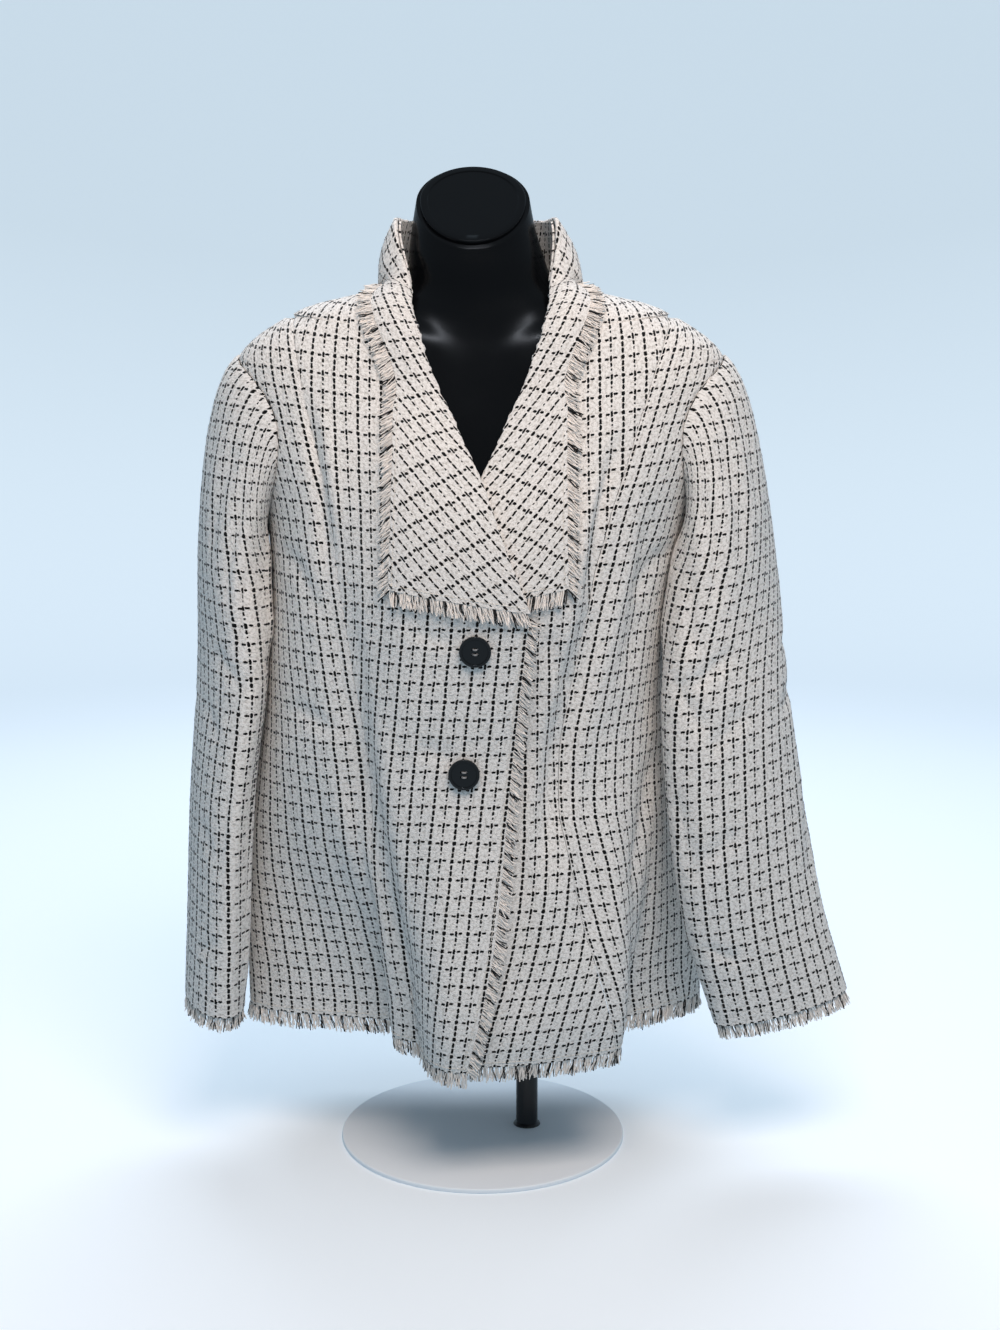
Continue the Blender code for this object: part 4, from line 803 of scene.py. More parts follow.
# Creases on a sleeve: from one turn (degrees from the top over the front) and place to another
SLEEVE_CREASES = (
    # turn_from place_from turn_to place_to width  depth
    (62.0,  0.30,  38.0,  0.95, 0.0070, -0.0030),
    (88.0,  0.42,  58.0,  1.25, 0.0075, -0.0036),
    (40.0,  0.22,  20.0,  0.75, 0.0060, -0.0020),
    (104.0, 0.80,  70.0,  1.70, 0.0080, -0.0030),
    (30.0,  1.60,  75.0,  1.95, 0.0085, -0.0028),
    (96.0,  1.75,  45.0,  2.35, 0.0085, -0.0032),
    (10.0,  2.10,  52.0,  2.45, 0.0080, -0.0022),
    (84.0,  2.60,  60.0,  3.60, 0.0100, -0.0028),
    (20.0,  3.05,  60.0,  3.35, 0.0090, -0.0018),
    (70.0,  4.10,  30.0,  4.35, 0.0070, -0.0022),
    (-60.0, 0.35, -35.0,  1.05, 0.0075, -0.0030),
    (-90.0, 1.40, -30.0,  1.80, 0.0090, -0.0034),
    (-80.0, 2.00, -20.0,  2.25, 0.0090, -0.0028),
    (-70.0, 2.80, -45.0,  3.90, 0.0100, -0.0024),
    (150.0, 1.20, 215.0,  1.60, 0.0080, -0.0026),
    (215.0, 2.00, 150.0,  2.40, 0.0080, -0.0026),
)
# Each sleeve swells toward the body above the elbow, and the wearer's right one below it too
SLEEVE_SWELLS = (
    # side turn_from place_from turn_to place_to width  depth
    (-1.0, 138.0, 0.30, 138.0,  1.80, 0.0130,  0.0068),
    (-1.0, 138.0, 2.30, 138.0,  5.15, 0.0130,  0.0046),
    (1.0,  135.0, 0.30, 135.0,  1.80, 0.0130,  0.0055),
)
CHECK_AT_SIDE = 0.62
ARMHOLE_DIP = 0.0003
EASE_RIPPLE = 0.0006            # the cap is eased into the armhole with small ripples
EASE_PITCH = 0.011
EASE_ENDS = 100.0               # over this many degrees either side of the top
EASE_FADE = 40.0
EASE_DEEP = 0.10
SLEEVE_FINE_STEPS = 400
SLEEVE_ROUGH_STEPS = 60
SLEEVE_GIRTH_RADIUS = 0.052
SLEEVE_ROW_LENGTH = 0.105


def armhole_place(side, turn):
    """Angle and level on the body of the armhole edge: turn from its top over the front."""
    share = 0.5 * (1.0 + np.cos(turn))
    level = UNDERARM + (SHOULDER_TIP - UNDERARM) * share
    cut = ARMHOLE_INSET * np.sqrt(np.maximum(np.sin(math.pi * share), 0.0))
    from_front = 0.5 * math.pi - cut * np.where(np.sin(turn) >= 0.0, 1.0, -1.0)
    return side * from_front, level


def sleeve_rings(rows, side, turn, place):
    """Oval sections of a sleeve below the armhole, turned forward and tilted."""
    z, x, y, half_across, half_deep, front_turn, slope = np.moveaxis(through_rows(rows, place), -1, 0)
    inward = np.radians(front_turn)
    out = half_across * np.cos(turn)
    ahead = half_deep * np.sin(turn)
    outward = out * np.cos(inward) - ahead * np.sin(inward)
    forward = ahead * np.cos(inward) + out * np.sin(inward)
    return np.stack((x + side * outward, y - forward, z + slope * outward), axis=-1)


def sleeve_points(rows, side, turn, place):
    """Sleeve surface: place 0 is the armhole, 1 the upper arm, then one more a section."""
    turn, place = np.broadcast_arrays(np.asarray(turn, float), np.asarray(place, float))
    lower = sleeve_rings(rows, side, turn, place - 1.0)
    start = body_points(*armhole_place(side, turn)) + np.array((side * SEAM_GAP, 0.0, 0.0))
    end = sleeve_rings(rows, side, turn, np.zeros_like(place))
    length = np.linalg.norm(end - start, axis=-1, keepdims=True)
    upness = 0.5 * (1.0 + np.cos(turn))
    out = side * (CAP_LEAVES_OUT + CAP_SWELL_OUT * upness)
    ahead = CAP_LEAVES_AHEAD * np.sin(turn)
    down = CAP_LEAVES_DOWN + CAP_SWELL_DOWN * upness
    leaving = length * np.stack((out, -ahead, -down), axis=-1)
    near = np.full_like(place, CAP_MEASURED_OVER)
    run = sleeve_rings(rows, side, turn, near) - sleeve_rings(rows, side, turn, -near)
    arriving = CAP_ARRIVES * length * unit(run)
    share = np.clip(place, 0.0, 1.0)[..., None]
    square = share * share
    cube = square * share
    upper = (start * (2 * cube - 3 * square + 1) + leaving * (cube - 2 * square + share)
             + end * (3 * square - 2 * cube) + arriving * (cube - square))
    return np.where((place >= 1.0)[..., None], lower, upper)


def sleeve_normals(rows, side, turn, place):
    """Outward normals; near the armhole's top they follow the body's cloth."""
    small_turn = 0.03
    small_step = 0.02
    around = (sleeve_points(rows, side, turn + small_turn, place)
              - sleeve_points(rows, side, turn - small_turn, place))
    along = (sleeve_points(rows, side, turn, place + small_step)
             - sleeve_points(rows, side, turn, np.maximum(place - small_step, 0.0)))
    own = unit(side * np.cross(around, along))
    body = body_normals(*armhole_place(side, turn))
    near_top = soft_step(0.5 + CAP_TOP_BLEND * np.cos(turn))
    share = (near_top * (1.0 - soft_step(place / CAP_BLEND)))[..., None]
    return unit(own * (1.0 - share) + body * share)


def sleeve_crease_depth(turn, place, side, stretch):
    """Sum of a sleeve's creases; a ripple of ease runs along the cap's seam."""
    degrees = (np.degrees(turn) + 180.0) % 360.0 - 180.0
    total = np.zeros_like(degrees)
    creases = [(*row[:5], stretch * row[5]) for row in SLEEVE_CREASES]
    creases += [row[1:] for row in SLEEVE_SWELLS if row[0] == side]
    for turn_from, place_from, turn_to, place_to, width, depth in creases:
        middle = 0.5 * (turn_from + turn_to)
        near = (np.degrees(turn) - middle + 180.0) % 360.0 - 180.0 + middle
        x = np.radians(near - turn_from) * SLEEVE_GIRTH_RADIUS
        y = (place - place_from) * SLEEVE_ROW_LENGTH
        run = np.array((math.radians(turn_to - turn_from) * SLEEVE_GIRTH_RADIUS,
                        (place_to - place_from) * SLEEVE_ROW_LENGTH))
        length = np.linalg.norm(run)
        run = run / length
        share = (x * run[0] + y * run[1]) / length
        aside = y * run[0] - x * run[1]
        inside = soft_step(share / CREASE_TAPER) * soft_step((1.0 - share) / CREASE_TAPER)
        total += depth * np.exp(-(aside / width) ** 2) * inside
    cap = soft_step((EASE_ENDS - np.abs(degrees)) / EASE_FADE) * np.exp(-(place / EASE_DEEP) ** 2)
    around = np.radians(degrees) * SLEEVE_GIRTH_RADIUS
    return total + EASE_RIPPLE * cap * np.sin(2.0 * math.pi * around / EASE_PITCH)


def sleeve_panel(name, rows, side, first_turn, last_turn, stretch, phase):
    """A sleeve's upper or under panel between two seams; stretch scales its creases."""
    fine = np.linspace(0.0, SLEEVE_END, SLEEVE_FINE_STEPS)
    middle_turn = 0.5 * (first_turn + last_turn)
    run = lengths_along(sleeve_points(rows, side, middle_turn, fine)[:, None], 0)[:, 0]
    count = int(math.ceil(run[-1] / CLOTH_GRID)) + 1
    places = np.interp(np.linspace(0.0, run[-1], count), run, fine)
    half_gap = 0.5 * SEAM_GAP / SLEEVE_MEAN_RADIUS
    rough_turns = np.linspace(first_turn, last_turn, SLEEVE_ROUGH_STEPS)
    wide = sleeve_points(rows, side, rough_turns[None, :], places[:, None])
    columns = int(math.ceil(lengths_along(wide, 1)[:, -1].max() / CLOTH_GRID)) + 1
    turns = np.linspace(first_turn + half_gap, last_turn - half_gap, columns)
    turn, place = np.meshgrid(turns, places)
    plain = sleeve_points(rows, side, turn, place)
    from_first = lengths_along(plain, 1)
    from_last = from_first[:, -1:] - from_first
    dip = SEAM_DIP * (np.exp(-(from_first / SEAM_DIP_WIDTH) ** 2)
                      + np.exp(-(from_last / SEAM_DIP_WIDTH) ** 2))
    dip += ARMHOLE_DIP * np.exp(-(lengths_along(plain, 0) / SEAM_DIP_WIDTH) ** 2)
    relief = YARN_RELIEF * cloth_random.standard_normal(turn.shape)
    moved = sleeve_crease_depth(turn, place, side, stretch) - dip + relief
    normals = sleeve_normals(rows, side, turn, place)
    outer = plain + moved[..., None] * normals
    facing = CHECK_AT_SIDE + (1.0 - CHECK_AT_SIDE) * np.abs(normals[..., 1])
    steps = np.diff(from_first, axis=1) * 0.5 * (facing[:, 1:] + facing[:, :-1])
    across = np.concatenate((np.zeros_like(steps[:, :1]), np.cumsum(steps, axis=1)), axis=1)
    middle_column = across[:, columns // 2][:, None]
    from_cuff = lengths_along(plain[::-1], 0)[::-1]
    flat = np.stack((across - middle_column + phase, from_cuff), axis=-1)
    if side > 0.0:
        outer = outer[::-1]
        flat = flat[::-1]
    mesh = shell_mesh(name, outer, CLOTH_WALL, flat)
    piece = add_piece(name + "_cloth", mesh, boucle, "boucle_cloth", name)


for label, side, table, stretch in (("right", -1.0, SLEEVE_RIGHT, 0.8), ("left", 1.0, SLEEVE_LEFT, 1.0)):
    sleeve_panel("sleeve_upper_" + label, number_rows(table), side, SLEEVE_SEAM_BACK - 2 * math.pi,
                 SLEEVE_SEAM_FRONT, stretch, 0.002)
    sleeve_panel("sleeve_under_" + label, number_rows(table), side, SLEEVE_SEAM_FRONT, SLEEVE_SEAM_BACK,
                 stretch, 0.006)


# Collar
# A wide shawl collar with squared lower ends, cut on the bias and joined at the back of the neck.
# It rolls over from a short stand and lies on the chest; its roll is a soft, unpressed edge.

COLLAR_LIFT = 0.0021
COLLAR_WALL = 0.003
LAPEL_ROWS = (
    # name          roll_x  roll_z  edge_x edge_z  arch
    ("square end",  -0.037, 0.510, 0.070, 0.527, 0.0010),
    ("low chest",   -0.020, 0.553, 0.0695, 0.572, 0.0012),
    ("roll cross",  -0.001, 0.6065, 0.070, 0.620, 0.0014),
    ("mid chest",    0.021, 0.655, 0.071, 0.665, 0.0018),
    ("high chest",   0.043, 0.705, 0.0735, 0.708, 0.0025),
)
NECK_ROWS = (
    # name            fold_angle fold_level edge_angle edge_level arch
    ("front of neck",  54.0, 11.0,  74.5, 10.66, 0.006),
    ("side front",     71.0, 12.1,  86.0, 10.68, 0.009),
    ("side",           90.0, 13.0,  98.0, 10.62, 0.009),
    ("side back",     133.0, 13.0, 136.0, 10.20, 0.014),
    ("back",          180.0, 13.0, 180.0,  9.80, 0.017),
)
FALL_STARTS = 4.8
FALL_OVER = 1.3
FALL_BULGE = 0.5
STAND_FIRST_ANGLE = math.radians(58.0)
STAND_BOTTOM = NECK_SEAM + 0.03
ROLL_RADIUS = 0.0021            # the roll turns under with this radius
ROLL_STEPS = 7
BIAS_LOW = math.radians(32.0)   # slope of the check to the collar's run at its square end
BIAS_NECK = math.radians(13.0)  # and at the neck
BIAS_TURNS = (1.0, 5.0)         # rows between which it turns
COLLAR_SEAM = 0.003             # share of a row that the halves stay apart at the back
MEASURED_AT = 0.6               # the collar's length is measured at this share from fold to edge
COLLAR_COLUMNS = 38
COLLAR_FINE_STEPS = 400


def collar_rows():
    """Both tables as rows of fold angle, fold level, edge angle, edge level and arch."""
    rows = []
    for _, roll_x, roll_z, edge_x, edge_z, arch in LAPEL_ROWS:
        rows.append((*place_on_front(roll_x, roll_z), *place_on_front(edge_x, edge_z), arch))
    for _, roll_angle, roll_level, edge_angle, edge_level, arch in NECK_ROWS:
        rows.append((math.radians(roll_angle), roll_level, math.radians(edge_angle), edge_level, arch))
    return np.array(rows)


COLLAR_ROWS = collar_rows()
COLLAR_LAST = len(COLLAR_ROWS) - 1


def over_body(side, angle, level, lift):
    """Points over the front on one side: the wearer's right front is already lifted."""
    raised = overlap_lift(side * angle, level) if side < 0.0 else 0.0
    return on_body(side * angle, level, raised + lift)


def on_collar(side, place, share, lift):
    """Points of the collar: place along it, share from fold to outer edge, lift over the cloth under it."""
    place, share = np.broadcast_arrays(np.asarray(place, float), np.asarray(share, float))
    columns = np.moveaxis(through_rows(COLLAR_ROWS, place), -1, 0)
    roll_angle, roll_level, edge_angle, edge_level, arch = columns
    angle = roll_angle + (edge_angle - roll_angle) * share
    level = roll_level + (edge_level - roll_level) * share
    rise = arch * np.sin(math.pi * np.clip(share, 0.0, 1.0))
    falling = soft_step((place - FALL_STARTS) / FALL_OVER)
    lying = over_body(side, angle, level, lift + rise * (1.0 - falling))
    fold = over_body(side, roll_angle, roll_level, np.full_like(share, lift))
    edge = over_body(side, edge_angle, edge_level, np.full_like(share, lift))
    bulge = (rise * FALL_BULGE)[..., None] * body_normals(side * roll_angle, roll_level)
    hanging = fold + (edge - fold) * share[..., None] + bulge
    blend = np.where(share >= 1.0, 0.0, falling)[..., None]
    return lying * (1.0 - blend) + hanging * blend


def collar_panel(label, side):
    """One half of the collar: its face from the fold to the outer edge, and the roll that turns under."""
    fine = np.linspace(0.0, COLLAR_LAST - COLLAR_SEAM, COLLAR_FINE_STEPS)
    run = lengths_along(on_collar(side, fine, MEASURED_AT, COLLAR_LIFT + COLLAR_WALL)[:, None], 0)[:, 0]
    count = int(math.ceil(run[-1] / CLOTH_GRID)) + 1
    places = np.interp(np.linspace(0.0, run[-1], count), run, fine)
    shares = np.linspace(0.0, 1.0, COLLAR_COLUMNS)
    place, share = np.meshgrid(places, shares, indexing="ij")
    face = on_collar(side, place, share, COLLAR_LIFT + COLLAR_WALL)
    relief = YARN_RELIEF * cloth_random.standard_normal(face.shape[:2])
    face += relief[..., None] * grid_normals(face) * side
    normals = side * grid_normals(face)[:, 0]
    inward = unit(face[:, 0] - face[:, 1])
    roll = []
    for step in range(ROLL_STEPS, 0, -1):
        turn = math.pi * step / ROLL_STEPS
        roll.append(face[:, 0] + inward * ROLL_RADIUS * math.sin(turn)
                    - normals * ROLL_RADIUS * (1.0 - math.cos(turn)))
    outer = np.concatenate((np.stack(roll, axis=1), face), axis=1)
    across = lengths_along(outer, 1)
    along = lengths_along(outer, 0).mean(axis=1)
    turning = soft_step((places - BIAS_TURNS[0]) / (BIAS_TURNS[1] - BIAS_TURNS[0]))
    bias = BIAS_LOW + (BIAS_NECK - BIAS_LOW) * turning
    lengths = np.diff(along, prepend=0.0)
    shift = np.cumsum(np.sin(bias) * lengths)[:, None]
    rise = np.cumsum(np.cos(bias) * lengths)[:, None]
    flat = np.stack((across * np.cos(bias)[:, None] - shift,
                     across * np.sin(bias)[:, None] + rise), axis=-1)
    if side < 0.0:
        outer = outer[:, ::-1]
        flat = flat[:, ::-1]
    name = "collar_" + label
    mesh = shell_mesh(name, outer, CLOTH_WALL, flat)
    piece = add_piece(name + "_cloth", mesh, boucle, "boucle_cloth", name)


for label, side in (("right", -1.0), ("left", 1.0)):
    collar_panel(label, side)

stand_turns = np.linspace(STAND_FIRST_ANGLE, 2.0 * math.pi - STAND_FIRST_ANGLE, 110)
near_turns = np.where(stand_turns < math.pi, stand_turns, 2.0 * math.pi - stand_turns)
neck_rows = COLLAR_ROWS[len(LAPEL_ROWS):]
fold_levels = np.interp(near_turns, neck_rows[:, 0], neck_rows[:, 1])
stand_shares = np.linspace(0.0, 1.0, 18)[:, None]
stand_levels = STAND_BOTTOM + (fold_levels[None, :] - STAND_BOTTOM) * stand_shares
stand_angles = np.broadcast_to(stand_turns, stand_levels.shape)
stand_grid = on_body(stand_angles, stand_levels, np.zeros_like(stand_levels))
stand_flat = np.stack((lengths_along(stand_grid, 1), lengths_along(stand_grid, 0)), axis=-1)
stand_mesh = shell_mesh("collar_stand", stand_grid, CLOTH_WALL, stand_flat)
stand_piece = add_piece("collar_stand_cloth", stand_mesh, boucle, "boucle_cloth", "collar_stand")


# Fringe
# The raw edges of the hem, cuffs, collar and front are frayed out into short loose yarn ends, held by
# a row of stitches. Light ends lie close together, with a dark tuft where a dark line of the check ends.

FRINGE_PITCH = 0.00105          # distance between neighbouring yarn ends
FRINGE_LAYERS = 2
YARN_RADIUS = 0.00052
YARN_WAVE = 0.05
YARN_BENDS = 6
HEM_FRINGE = 0.0165
CUFF_FRINGE = 0.0160
COLLAR_FRINGE = 0.0150
EDGE_FRINGE = 0.0125
EDGE_FRINGE_TOP = 4.85
FRINGE_ROOT = 0.0008            # ends begin this far inside the cloth's edge
STITCH_LENGTH = 0.0030          # stay stitches run just inside each frayed edge
STITCH_PITCH = 0.0042
STITCH_INSET = 0.0034
STITCH_LIFT = 0.0006
STITCH_RADIUS = 0.00028
STITCH_WAVE = 0.03
TUFT_WIDE = 0.0024
TUFT_NARROW = 0.0013
YARN_SWING = 5.2                # radians of wave along one yarn end
YARN_TIP = 0.55                 # its thickness at the tip, as a share
YARN_TONE = 0.0016              # size of the patches in its tone
YARN_SWAY = 0.13                # how far the ends spread sideways and to the front
YARN_LEAN = 0.10
YARN_SHORTEST = 0.78            # the ends' lengths, as shares of the fringe's reach
YARN_LONGEST = 1.02
LIGHT_YARN_SHARE = 0.97
YARN_JITTER = 0.4               # an end strays this share of the pitch from its even place
LAYER_SUNK = 0.0004             # the first layer of ends lies this far under the edge's points
LAYER_APART = 0.0009
EDGE_SUNK = 0.0004              # the edge's points lie this far under the cloth's face
FRONT_EDGE_SUNK = 0.0002
EDGE_DROOP = 0.85               # how far the ends of the front edge and of the collar hang down
COLLAR_DROOP = 1.05
COLLAR_DROOP_ROWS = 3.0         # the collar's droop fades from this row on, over as many more
CUFF_GAP = 0.02                 # fringes stop short of a cuff's seam,
COLLAR_END_GAP = 0.01           # of a collar's corners
COLLAR_SIDE_GAP = 0.004         # and of the middle of the back
SMALL_RISE = 0.05               # short steps along which an edge's directions are measured
SMALL_TURN = 0.02
SMALL_PLACE = 0.1
EDGE_FINE = 600
HEM_TUFTS = 0.010               # distance from one dark tuft to the next
EDGE_TUFTS = 0.0125
COLLAR_END_TUFTS = 0.0135
COLLAR_SIDE_TUFTS = 0.0150
fringe_random = np.random.default_rng(21)


def yarn_finish(name, colour, shade):
    """Loose boucle yarn, matt and uneven in tone."""
    material, tree, shader = new_finish(name, colour, 0.95, Sheen_Weight=0.2, Specular_IOR_Level=0.15)
    coordinates = add_node(tree, "ShaderNodeTexCoord")
    tone = add_node(tree, "ShaderNodeTexNoise", {"Vector": coordinates.outputs["Object"],
                                                 "Scale": 1.0 / YARN_TONE, "Detail": 2.0})
    mixed = add_node(tree, "ShaderNodeMix", {"Factor": tone.outputs["Fac"], "A": linear(shade),
                                             "B": linear(colour)}, data_type="RGBA")
    tree.links.new(mixed.outputs["Result"], shader.inputs["Base Color"])
    return material


light_yarn = yarn_finish("frayed_cream_yarn", "#fffaf4", "#e8e0d9")
dark_yarn = yarn_finish("frayed_black_yarn", "#24201e", "#0c0a0a")
stay_thread = yarn_finish("cream_sewing_thread", "#efe9df", "#d8d0c5")


def fringe_tree():
    """Geometry Nodes: one wavy yarn end at every root, turned along its hang, scaled to its reach."""
    tree = bpy.data.node_groups.new("fringe_yarn_ends", "GeometryNodeTree")
    tree.interface.new_socket("Roots", in_out="INPUT", socket_type="NodeSocketGeometry")
    for label, kind in (("Yarn Radius", "NodeSocketFloat"), ("Wave", "NodeSocketFloat"),
                        ("Seed", "NodeSocketInt"), ("Light Yarn", "NodeSocketMaterial"),
                        ("Dark Yarn", "NodeSocketMaterial")):
        tree.interface.new_socket(label, in_out="INPUT", socket_type=kind)
    tree.interface.new_socket("Fringe", in_out="OUTPUT", socket_type="NodeSocketGeometry")
    given = add_node(tree, "NodeGroupInput").outputs
    line = add_node(tree, "GeometryNodeCurvePrimitiveLine", {"Start": (0.0, 0.0, 0.0),
                                                             "End": (0.0, 0.0, 1.0)})
    bends = add_node(tree, "GeometryNodeResampleCurve", {"Curve": line.outputs["Curve"],
                                                         "Count": YARN_BENDS})
    along = add_node(tree, "GeometryNodeSplineParameter")
    swing = add_node(tree, "ShaderNodeMath", {0: along.outputs["Factor"], 1: YARN_SWING},
                     operation="MULTIPLY")
    sideways = add_node(tree, "ShaderNodeMath", {0: swing.outputs[0]}, operation="SINE")
    waved = add_node(tree, "ShaderNodeMath", {0: sideways.outputs[0], 1: given["Wave"]},
                     operation="MULTIPLY")
    bowed = add_node(tree, "ShaderNodeMath", {0: along.outputs["Factor"], 1: 2.0}, operation="POWER")
    curled = add_node(tree, "ShaderNodeMath", {0: bowed.outputs[0], 1: given["Wave"]},
                      operation="MULTIPLY")
    offset = add_node(tree, "ShaderNodeCombineXYZ", {"X": waved.outputs[0], "Y": curled.outputs[0]})
    shaped = add_node(tree, "GeometryNodeSetPosition", {"Geometry": bends.outputs["Curve"],
                                                        "Offset": offset.outputs["Vector"]})
    taper = add_node(tree, "ShaderNodeMapRange", {"Value": along.outputs["Factor"], "To Min": 1.0,
                                                  "To Max": YARN_TIP})
    thinned = add_node(tree, "GeometryNodeSetCurveRadius", {"Curve": shaped.outputs["Geometry"],
                                                            "Radius": taper.outputs["Result"]})
    ring = add_node(tree, "GeometryNodeCurvePrimitiveCircle", {"Resolution": 4,
                                                               "Radius": given["Yarn Radius"]})
    yarn = add_node(tree, "GeometryNodeCurveToMesh", {"Curve": thinned.outputs["Curve"],
                                                      "Profile Curve": ring.outputs["Curve"],
                                                      "Fill Caps": True})
    hang = add_node(tree, "GeometryNodeInputNamedAttribute", {"Name": "hang"}, data_type="FLOAT_VECTOR")
    facing = add_node(tree, "FunctionNodeAlignRotationToVector", {"Vector": hang.outputs["Attribute"]},
                      axis="Z")
    spin = add_node(tree, "FunctionNodeRandomValue", {"Max": 2.0 * math.pi, "Seed": given["Seed"]},
                    data_type="FLOAT")
    own_turn = add_node(tree, "FunctionNodeAxisAngleToRotation", {"Axis": (0.0, 0.0, 1.0)})
    turned = add_node(tree, "FunctionNodeRotateRotation", {"Rotation": facing.outputs["Rotation"],
                                                           "Rotate By": own_turn.outputs["Rotation"]},
                      rotation_space="LOCAL")
    spin_value = [socket for socket in spin.outputs if socket.enabled][0]
    tree.links.new(spin_value, own_turn.inputs["Angle"])
    reach = add_node(tree, "GeometryNodeInputNamedAttribute", {"Name": "reach"}, data_type="FLOAT")
    placed = add_node(tree, "GeometryNodeInstanceOnPoints", {"Points": given["Roots"],
                                                             "Instance": yarn.outputs["Mesh"],
                                                             "Rotation": turned.outputs["Rotation"],
                                                             "Scale": reach.outputs["Attribute"]})
    real = add_node(tree, "GeometryNodeRealizeInstances", {"Geometry": placed.outputs["Instances"]})
    light = add_node(tree, "GeometryNodeSetMaterial", {"Geometry": real.outputs["Geometry"],
                                                       "Material": given["Light Yarn"]})
    is_dark = add_node(tree, "GeometryNodeInputNamedAttribute", {"Name": "dark"}, data_type="FLOAT")
    chosen = add_node(tree, "FunctionNodeCompare", {"A": is_dark.outputs["Attribute"], "B": 0.5},
                      data_type="FLOAT", operation="GREATER_THAN")
    dark = add_node(tree, "GeometryNodeSetMaterial", {"Geometry": light.outputs["Geometry"],
                                                      "Selection": chosen.outputs["Result"],
                                                      "Material": given["Dark Yarn"]})
    add_node(tree, "NodeGroupOutput", {"Fringe": dark.outputs["Geometry"]})
    return tree


FRINGE_TREE = fringe_tree()
FRINGE_SOCKETS = {item.name: item.identifier for item in FRINGE_TREE.interface.items_tree
                  if item.in_out == "INPUT"}


def yarn_mesh(name, roots, hangs, reaches, darks, radius, wave, seed, light, dark):
    """The mesh that the node tree makes on a cloud of roots."""
    cloud_mesh = bpy.data.meshes.new(name + "_roots")
    cloud_mesh.from_pydata(roots.tolist(), [], [])
    for label, kind, field, values in (("hang", "FLOAT_VECTOR", "vector", hangs),
                                       ("reach", "FLOAT", "value", reaches),
                                       ("dark", "FLOAT", "value", darks)):
        attribute = cloud_mesh.attributes.new(label, kind, "POINT")
        attribute.data.foreach_set(field, values.reshape(-1))
    cloud = bpy.data.objects.new(name + "_roots", cloud_mesh)
    bpy.context.scene.collection.objects.link(cloud)
    modifier = cloud.modifiers.new("fringe", "NODES")
    modifier.node_group = FRINGE_TREE
    for label, value in (("Yarn Radius", radius), ("Wave", wave), ("Seed", seed), ("Light Yarn", light),
                         ("Dark Yarn", dark)):
        modifier[FRINGE_SOCKETS[label]] = value
    evaluated = cloud.evaluated_get(bpy.context.evaluated_depsgraph_get())
    mesh = bpy.data.meshes.new_from_object(evaluated)
    bpy.data.objects.remove(cloud, do_unlink=True)
    mesh.name = name
    mesh.shade_smooth()
    return mesh


def stitch_row(name, edge, seed):
    """A row of short stitches along an edge, on the face of the cloth."""
    fine = np.linspace(0.0, 1.0, EDGE_FINE)
    run = lengths_along(edge(fine)[0][:, None], 0)[:, 0]
    count = int(run[-1] / STITCH_PITCH)
    share = np.interp((np.arange(count) + 0.5) * run[-1] / count, run, fine)
    root, hang, normal = edge(share)
    forward = unit(np.gradient(root, axis=0))
    start = root - STITCH_INSET * hang + STITCH_LIFT * normal - 0.5 * STITCH_LENGTH * forward
    mesh = yarn_mesh(name, start, forward, np.full(count, STITCH_LENGTH), np.zeros(count),
                     STITCH_RADIUS / STITCH_LENGTH, STITCH_WAVE, seed, stay_thread, stay_thread)
    add_piece(name, mesh, stay_thread, "fringe_yarn")


def fringe_piece(name, edge, reach, tuft_pitch, seed):
    """Yarn ends and stitches along an edge; edge(share) gives roots, hang directions and normals."""
    fine = np.linspace(0.0, 1.0, EDGE_FINE)
    run = lengths_along(edge(fine)[0][:, None], 0)[:, 0]
    roots, hangs, reaches, darks = [], [], [], []
    for layer in range(FRINGE_LAYERS):
        count = int(run[-1] / FRINGE_PITCH)
        stray = fringe_random.uniform(0.5 - YARN_JITTER, 0.5 + YARN_JITTER, count)
        travel = (np.arange(count) + stray) * run[-1] / count
        share = np.interp(travel, run, fine)
        root, hang, normal = edge(share)
        sway = fringe_random.normal(0.0, YARN_SWAY, count)
        lean = fringe_random.normal(0.0, YARN_LEAN, count)
        sideways = unit(np.cross(hang, normal))
        hang = unit(hang + sway[:, None] * sideways + lean[:, None] * normal)
        from_tuft = np.abs((travel + 0.5 * tuft_pitch) % tuft_pitch - 0.5 * tuft_pitch)
        is_wide = np.floor(travel / tuft_pitch + 0.5) % 2 == 0
        dark = from_tuft < 0.5 * np.where(is_wide, TUFT_WIDE, TUFT_NARROW)
        roots.append(root - normal * (LAYER_SUNK + LAYER_APART * layer))
        hangs.append(hang)
        lengths = reach * fringe_random.uniform(YARN_SHORTEST, YARN_LONGEST, count)
        reaches.append(lengths * np.where(dark, 1.0, LIGHT_YARN_SHARE))
        darks.append(dark.astype(float))
    mesh = yarn_mesh(name + "_ends", np.concatenate(roots), np.concatenate(hangs), np.concatenate(reaches),
                     np.concatenate(darks), YARN_RADIUS / reach, YARN_WAVE, seed, light_yarn, dark_yarn)
    add_piece(name + "_ends", mesh, None, "fringe_yarn", name)
    stitch_row(name + "_stitches", edge, seed)


def hem_edge(first, last, lift):
    """The hem between two angles."""
    def edge(share):
        angle = first + (last - first) * share
        level = np.full_like(angle, HEM)
        raised = lift(angle, level) + crease_depth(angle, level) - EDGE_SUNK
        root = on_body(angle, level, raised)
        above = on_body(angle, level + SMALL_RISE, raised)
        hang = unit(root - above)
        return root - FRINGE_ROOT * hang, hang, body_normals(angle, level)
    return edge


